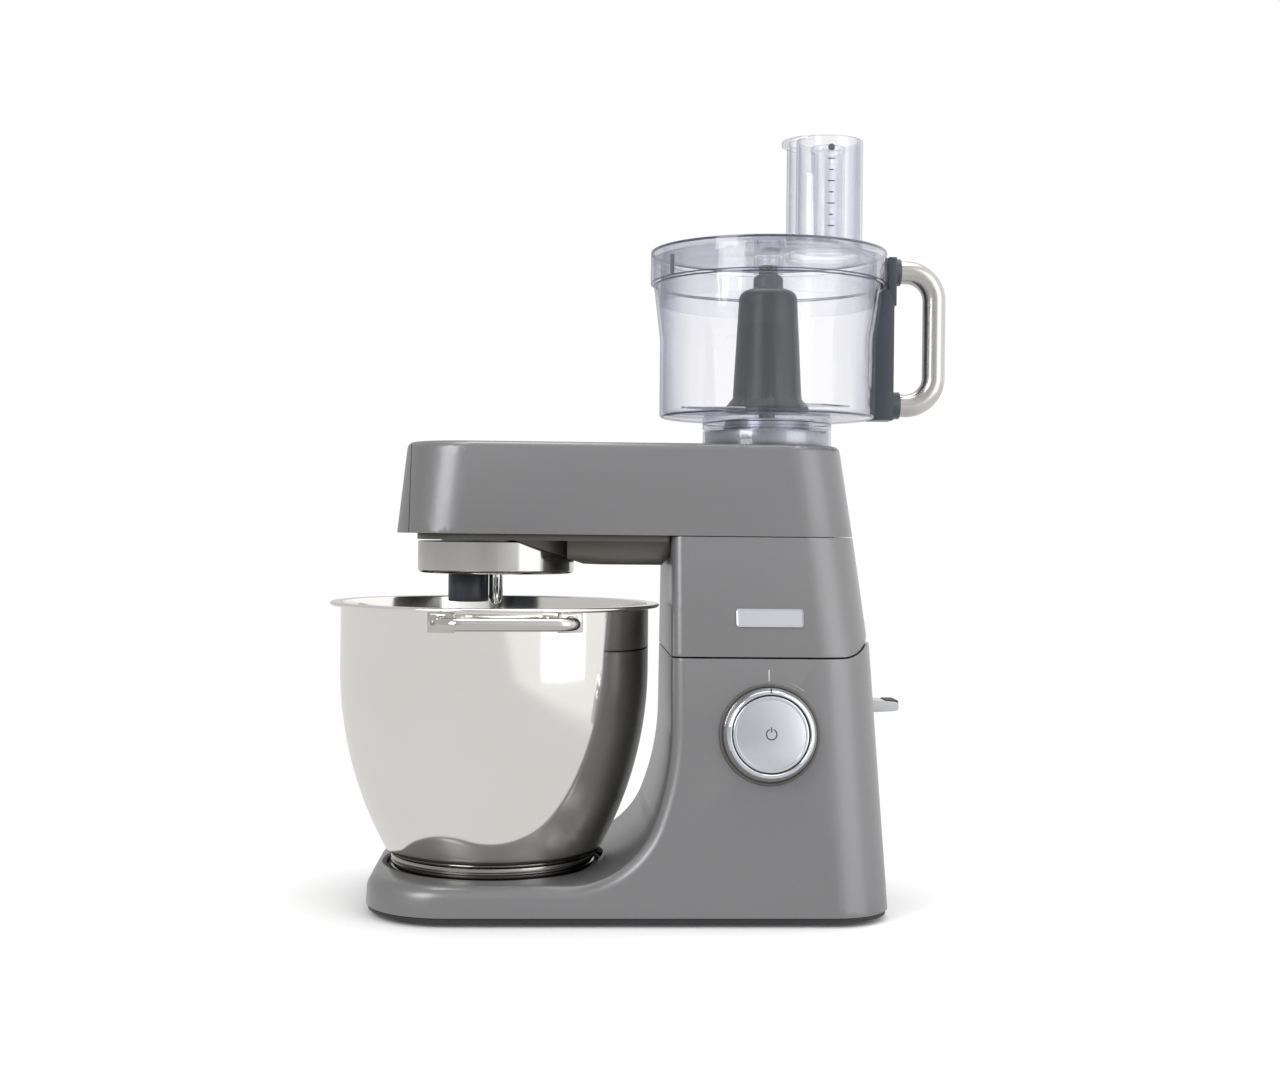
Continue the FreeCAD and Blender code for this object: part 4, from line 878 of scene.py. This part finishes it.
@dataclass
class Processor(Assembly):
    """The food processor: drive unit, clear bowl and lid, blade, handle and pushers."""

    around: int = 144
    lid_mm: float = 90.7
    lid_top_mm: float = 495.0
    rim_mm: float = 469.7
    rim_radius_mm: float = 88.2
    base_mm: float = 83.0
    floor_mm: float = 370.0
    collar_mm: float = 49.6
    key_degrees: float = 208.0
    marks_degrees: float = -93.0
    marks: int = 7
    marks_apart_mm: float = 8.5

    def build(self) -> None:
        """Finishes the drive unit, blade, bowl, lid, handle and pushers."""
        self.refine("drive_unit", "grooved_silver_abs", 0.5)
        self.refine("drive_collar", "clear_san", 0.3)
        self.refine("processor_bowl", "clear_san", 0.4)
        self.refine("processor_lid", "clear_san", 0.4)
        self.refine("large_pusher", "clear_san", 0.4)
        self.refine("small_pusher", "clear_san", 0.4)
        self.refine("handle_bracket", "slate_polypropylene", 0.9)
        self.refine("processor_handle", "brushed_tube_stainless", 0.0, 60)
        self.refine("blade_hub", "charcoal_acetal", 0.5)
        for node in ("blade_low", "blade_high"):
            self.refine(node, "ground_blade_steel", 0.3)
        self.coat("turned_steel", "blade_spindle")
        self.rims()
        self.graduations()

    def rims(self) -> None:
        """Adds the thick edges of lid and bowl, which look like dark lines, and the lid's key."""
        low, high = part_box("processor_bowl")
        centre = Vector(((low.x + high.x) / 2, 0, 0))
        wide = self.lid_mm
        lines = [("lid_edge", wide - 0.25, self.lid_top_mm - 1.9, 1.5, 1.3, "lid"),
                 ("lid_skirt_edge", wide - 0.3, self.rim_mm + 0.8, 0.7, 1.2, "lid"),
                 ("bowl_mouth_edge", self.rim_radius_mm - 0.3, self.rim_mm - 1.0, 0.8, 1.6,
                  "processor_vessel"),
                 ("bowl_base_edge", self.base_mm - 1.0, self.floor_mm - 2.2, 1.3, 1.6,
                  "processor_vessel"),
                 ("collar_edge", self.collar_mm - 0.2, self.floor_mm - 7.2, 0.8, 0.9,
                  "processor_vessel")]
        for name, outer, height, tall, thick, body in lines:
            bead = turned_piece(name, centre, [
                (outer - thick, height), (outer - 0.2, height), (outer, height + 0.2),
                (outer, height + tall - 0.2), (outer - 0.2, height + tall),
                (outer - thick, height + tall)], self.around, True)
            self.dress(smooth(bead, 60), "smoky_san_edge", body)
        angle = math.radians(self.key_degrees)
        out = Vector((math.cos(angle), math.sin(angle), 0))
        bpy.ops.object.select_all(action="DESELECT")
        bpy.ops.mesh.primitive_cube_add(size=1)
        key = named("lid_key")
        key.scale = (3.6 * MM, 15.0 * MM, 2.0 * MM)
        settle(key)
        pick(key, lambda p: True, "EDGE")
        bpy.ops.mesh.bevel(offset=0.7 * MM, segments=3)
        bpy.ops.object.mode_set(mode="OBJECT")
        spot = centre + out * (wide - 3.6) * MM + Vector((0, 0, (self.rim_mm + 9.5) * MM))
        self.dress(place_on(smooth(key, 50), spot, out), "slate_polypropylene", "lid")

    def graduations(self) -> None:
        """Prints the measuring dot and marks down the dial side of the large pusher."""
        low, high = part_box("large_pusher")
        angle = math.radians(self.marks_degrees)
        out = Vector((math.cos(angle), math.sin(angle), 0))
        wall = Vector(((low.x + high.x) / 2, 0, 0)) + out * ((high.x - low.x) / 2 + 0.12 * MM)
        marks = []
        for number in range(self.marks):
            height = high.z - (18.0 + number * self.marks_apart_mm) * MM
            wide = (5.2 if number % 2 == 0 else 3.2) * MM
            bpy.ops.object.select_all(action="DESELECT")
            bpy.ops.mesh.primitive_grid_add(x_subdivisions=4, y_subdivisions=1, size=1)
            mark = named("measure")
            mark.scale = (wide, 0.9 * MM, 1)
            settle(mark)
            marks.append(place_on(mark, wall + Vector((0, 0, height)), out))
        bpy.ops.object.select_all(action="DESELECT")
        bpy.ops.mesh.primitive_circle_add(vertices=28, radius=2.6 * MM, fill_type="NGON")
        dot = named("measure_dot")
        marks.append(place_on(dot, wall + Vector((0, 0, high.z - 9.5 * MM)), out))
        printed = joined("pusher_marks", marks)
        apply_modifier(printed, "SOLIDIFY", thickness=0.00008, offset=0)
        self.dress(printed, "printed_dark_ink", "pusher")


@dataclass
class Underneath(Assembly):
    """Base plate, feet, bowl seat and cord gland."""

    def build(self) -> None:
        """Finishes what stands on the table and what the bowl locks into."""
        self.refine("base_plate", "textured_black_abs", 0.5)
        for number in range(1, 5):
            self.refine(f"rubber_foot_{number}", "nitrile_rubber", 0.3)
        self.refine("bowl_seat", "textured_black_abs", 0.3)
        self.refine("cord_gland", "textured_black_abs", 0.5)


@dataclass
class Insides(Assembly):
    """Everything sealed in the casings."""

    def build(self) -> None:
        """Gives the inner nodes their finishes."""
        self.coat("cast_aluminium", "hinge_bracket", "head_hinge_frame", "gearbox_housing",
                  "layshaft_pulley", "slow_outlet_collar")
        self.coat("turned_steel", "hinge_pin", "lever_pin", "latch_pin", "latch_hook",
                  "latch_striker", "output_gear", "planet_gear", "ring_gear", "hub_bearing",
                  "layshaft", "motor_pulley", "motor_bearing")
        self.coat("lamination_steel", "motor_stator", "motor_armature")
        self.coat("moulded_neoprene", "drive_belt")
        self.coat("solder_mask_green", "control_board")
        self.coat("textured_black_abs", "speed_encoder")
        self.coat("light_grey_abs", "cooling_fan", "outlet_coupling")


# ---- studio ----

@dataclass(frozen=True)
class Softbox:
    """One soft light: where it stands, where it points, its size and its power."""

    name: str
    place: Point
    aim: Point
    wide: float
    tall: float
    power: float

    def hang(self) -> None:
        """Adds the light to the scene."""
        data = bpy.data.lights.new(self.name, "AREA")
        data.shape = "RECTANGLE"
        data.size, data.size_y, data.energy = self.wide, self.tall, self.power
        lamp = bpy.data.objects.new(self.name, data)
        bpy.context.scene.collection.objects.link(lamp)
        lamp.location = self.place
        towards = Vector(self.aim) - Vector(self.place)
        lamp.rotation_euler = towards.to_track_quat("-Z", "Y").to_euler()


@dataclass
class Studio:
    """The pale floor, the room's light and the camera."""

    lens_mm: float = 48.29
    away_m: float = 1.32
    eye_m: float = 0.283
    side_degrees: float = -2.7
    roll_degrees: float = 0.6
    aim_drop_m: float = 0.0046
    white: float = 1.02
    paper_glow: float = 0.76
    paper_fade_m: tuple[float, float] = (0.26, 0.72)
    paper_right_m: tuple[float, float] = (0.25, 0.6)
    room_glow: tuple[float, float] = (0.61, 1.2)
    clear_walls: int = 48

    def floor(self) -> None:
        """Lays a pale floor, plain white away from the machine and even in mirrored light."""
        bpy.ops.object.select_all(action="DESELECT")
        bpy.ops.mesh.primitive_grid_add(x_subdivisions=8, y_subdivisions=8, size=24,
                                        location=(0, 0, -0.0001))
        ground = settle(named("studio_floor"))
        paper = bpy.data.materials.new("matt_white_paper")
        paper.use_nodes = True
        tree = paper.node_tree
        tree.nodes.clear()
        place = add_node(tree, "ShaderNodeTexCoord")
        away = add_node(tree, "ShaderNodeVectorMath", {"operation": "LENGTH"},
                        {0: place.outputs["Object"]})
        share = add_node(tree, "ShaderNodeMapRange", {"interpolation_type": "SMOOTHSTEP"}, {
            "Value": away.outputs["Value"], "From Min": self.paper_fade_m[0],
            "From Max": self.paper_fade_m[1]})
        matt = add_node(tree, "ShaderNodeBsdfDiffuse", {}, {"Color": linear("F7F7F7")})
        path = add_node(tree, "ShaderNodeLightPath")
        bright = add_node(tree, "ShaderNodeMapRange", {}, {
            "Value": path.outputs["Is Camera Ray"], "To Min": self.paper_glow,
            "To Max": self.white})
        plain = add_node(tree, "ShaderNodeEmission", {}, {
            "Color": (1, 1, 1, 1), "Strength": bright.outputs["Result"]})
        lit = add_node(tree, "ShaderNodeMixShader", {}, {
            0: share.outputs["Result"], 1: matt.outputs["BSDF"], 2: plain.outputs["Emission"]})
        spot = add_node(tree, "ShaderNodeSeparateXYZ", {}, {"Vector": place.outputs["Object"]})
        right = add_node(tree, "ShaderNodeMapRange", {"interpolation_type": "SMOOTHSTEP"}, {
            "Value": spot.outputs["X"], "From Min": self.paper_right_m[0],
            "From Max": self.paper_right_m[1], "To Min": self.paper_glow, "To Max": 1.0})
        even = add_node(tree, "ShaderNodeEmission", {}, {
            "Color": (1, 1, 1, 1), "Strength": right.outputs["Result"]})
        both = add_node(tree, "ShaderNodeMixShader", {}, {
            0: path.outputs["Is Glossy Ray"], 1: lit.outputs["Shader"],
            2: even.outputs["Emission"]})
        add_node(tree, "ShaderNodeOutputMaterial", {}, {"Surface": both.outputs["Shader"]})
        ground.data.materials.append(paper)

    def room(self) -> None:
        """Fills the room with pale light: brighter to the right, a little darker dead ahead."""
        world = bpy.data.worlds.new("studio_room")
        world.use_nodes = True
        bpy.context.scene.world = world
        tree = world.node_tree
        tree.nodes.clear()
        place = add_node(tree, "ShaderNodeTexCoord")
        parts = add_node(tree, "ShaderNodeSeparateXYZ", {}, {"Vector": place.outputs["Generated"]})
        across = add_node(tree, "ShaderNodeMapRange", {"interpolation_type": "SMOOTHSTEP"}, {
            "Value": parts.outputs["X"], "From Min": -0.35, "From Max": 0.75,
            "To Min": self.room_glow[0], "To Max": self.room_glow[1]})
        front = add_node(tree, "ShaderNodeMapRange", {"interpolation_type": "SMOOTHSTEP"}, {
            "Value": parts.outputs["Y"], "From Min": -0.99, "From Max": -0.86,
            "To Min": 0.88, "To Max": 1.0})
        strength = add_node(tree, "ShaderNodeMath", {"operation": "MULTIPLY"}, {
            0: across.outputs["Result"], 1: front.outputs["Result"]})
        wall = add_node(tree, "ShaderNodeBackground", {}, {
            "Color": (1, 1, 1, 1), "Strength": strength.outputs["Value"]})
        seen = add_node(tree, "ShaderNodeBackground", {}, {
            "Color": (1, 1, 1, 1), "Strength": self.white})
        path = add_node(tree, "ShaderNodeLightPath")
        both = add_node(tree, "ShaderNodeMixShader", {}, {
            0: path.outputs["Is Camera Ray"], 1: wall.outputs["Background"],
            2: seen.outputs["Background"]})
        add_node(tree, "ShaderNodeOutputWorld", {}, {"Surface": both.outputs["Shader"]})

    def lights(self) -> None:
        """Hangs the softboxes."""
        middle = (0.0, 0.0, 0.25)
        for box in (Softbox("key_left", (-1.15, -1.25, 1.15), middle, 0.8, 1.1, 14),
                    Softbox("fill_right", (1.25, -1.05, 0.85), (0.1, 0.0, 0.7), 1.1, 1.9, 6.8),
                    Softbox("top", (0.1, 0.2, 1.9), middle, 1.4, 1.0, 14)):
            box.hang()

    def camera(self) -> None:
        """Stands the camera in front of the machine, a touch to the left and hardly rolled."""
        data = bpy.data.cameras.new("studio_camera")
        data.lens = self.lens_mm
        data.sensor_width = 36
        data.clip_end = 60
        holder = bpy.data.objects.new("studio_camera", data)
        bpy.context.scene.collection.objects.link(holder)
        side = math.radians(self.side_degrees)
        eye = Vector((math.sin(side), -math.cos(side), 0)) * self.away_m
        eye.z = self.eye_m
        look = (Vector((0, 0, self.eye_m - self.aim_drop_m)) - eye).to_track_quat("-Z", "Y")
        roll = Matrix.Rotation(math.radians(self.roll_degrees), 4, "Z")
        holder.matrix_world = Matrix.Translation(eye) @ look.to_matrix().to_4x4() @ roll
        bpy.context.scene.camera = holder

    def build(self) -> None:
        """Sets up floor, room, lights and camera."""
        self.floor()
        self.room()
        self.lights()
        self.camera()
        bpy.context.scene.view_settings.view_transform = "Standard"
        bpy.context.scene.cycles.transparent_max_bounces = self.clear_walls


def main() -> None:
    """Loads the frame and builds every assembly."""
    logging.basicConfig(level=logging.INFO, format="%(message)s")
    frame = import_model()
    bowl_low, bowl_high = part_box("mixing_bowl")
    jar_low, jar_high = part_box("processor_bowl")
    paints = finishes(((bowl_low.x + bowl_high.x) / 2, 0.0, 0.0),
                      ((jar_low.x + jar_high.x) / 2, 0.0, 0.0))
    for kind in (Casings, Controls, Hub, MixingBowl, Processor, Underneath, Insides):
        assembly = kind(frame, paints)
        assembly.build()
        LOG.info("%s: %d new pieces", kind.__name__, len(assembly.pieces))
    Studio().build()


if __name__ == "__main__":
    main()
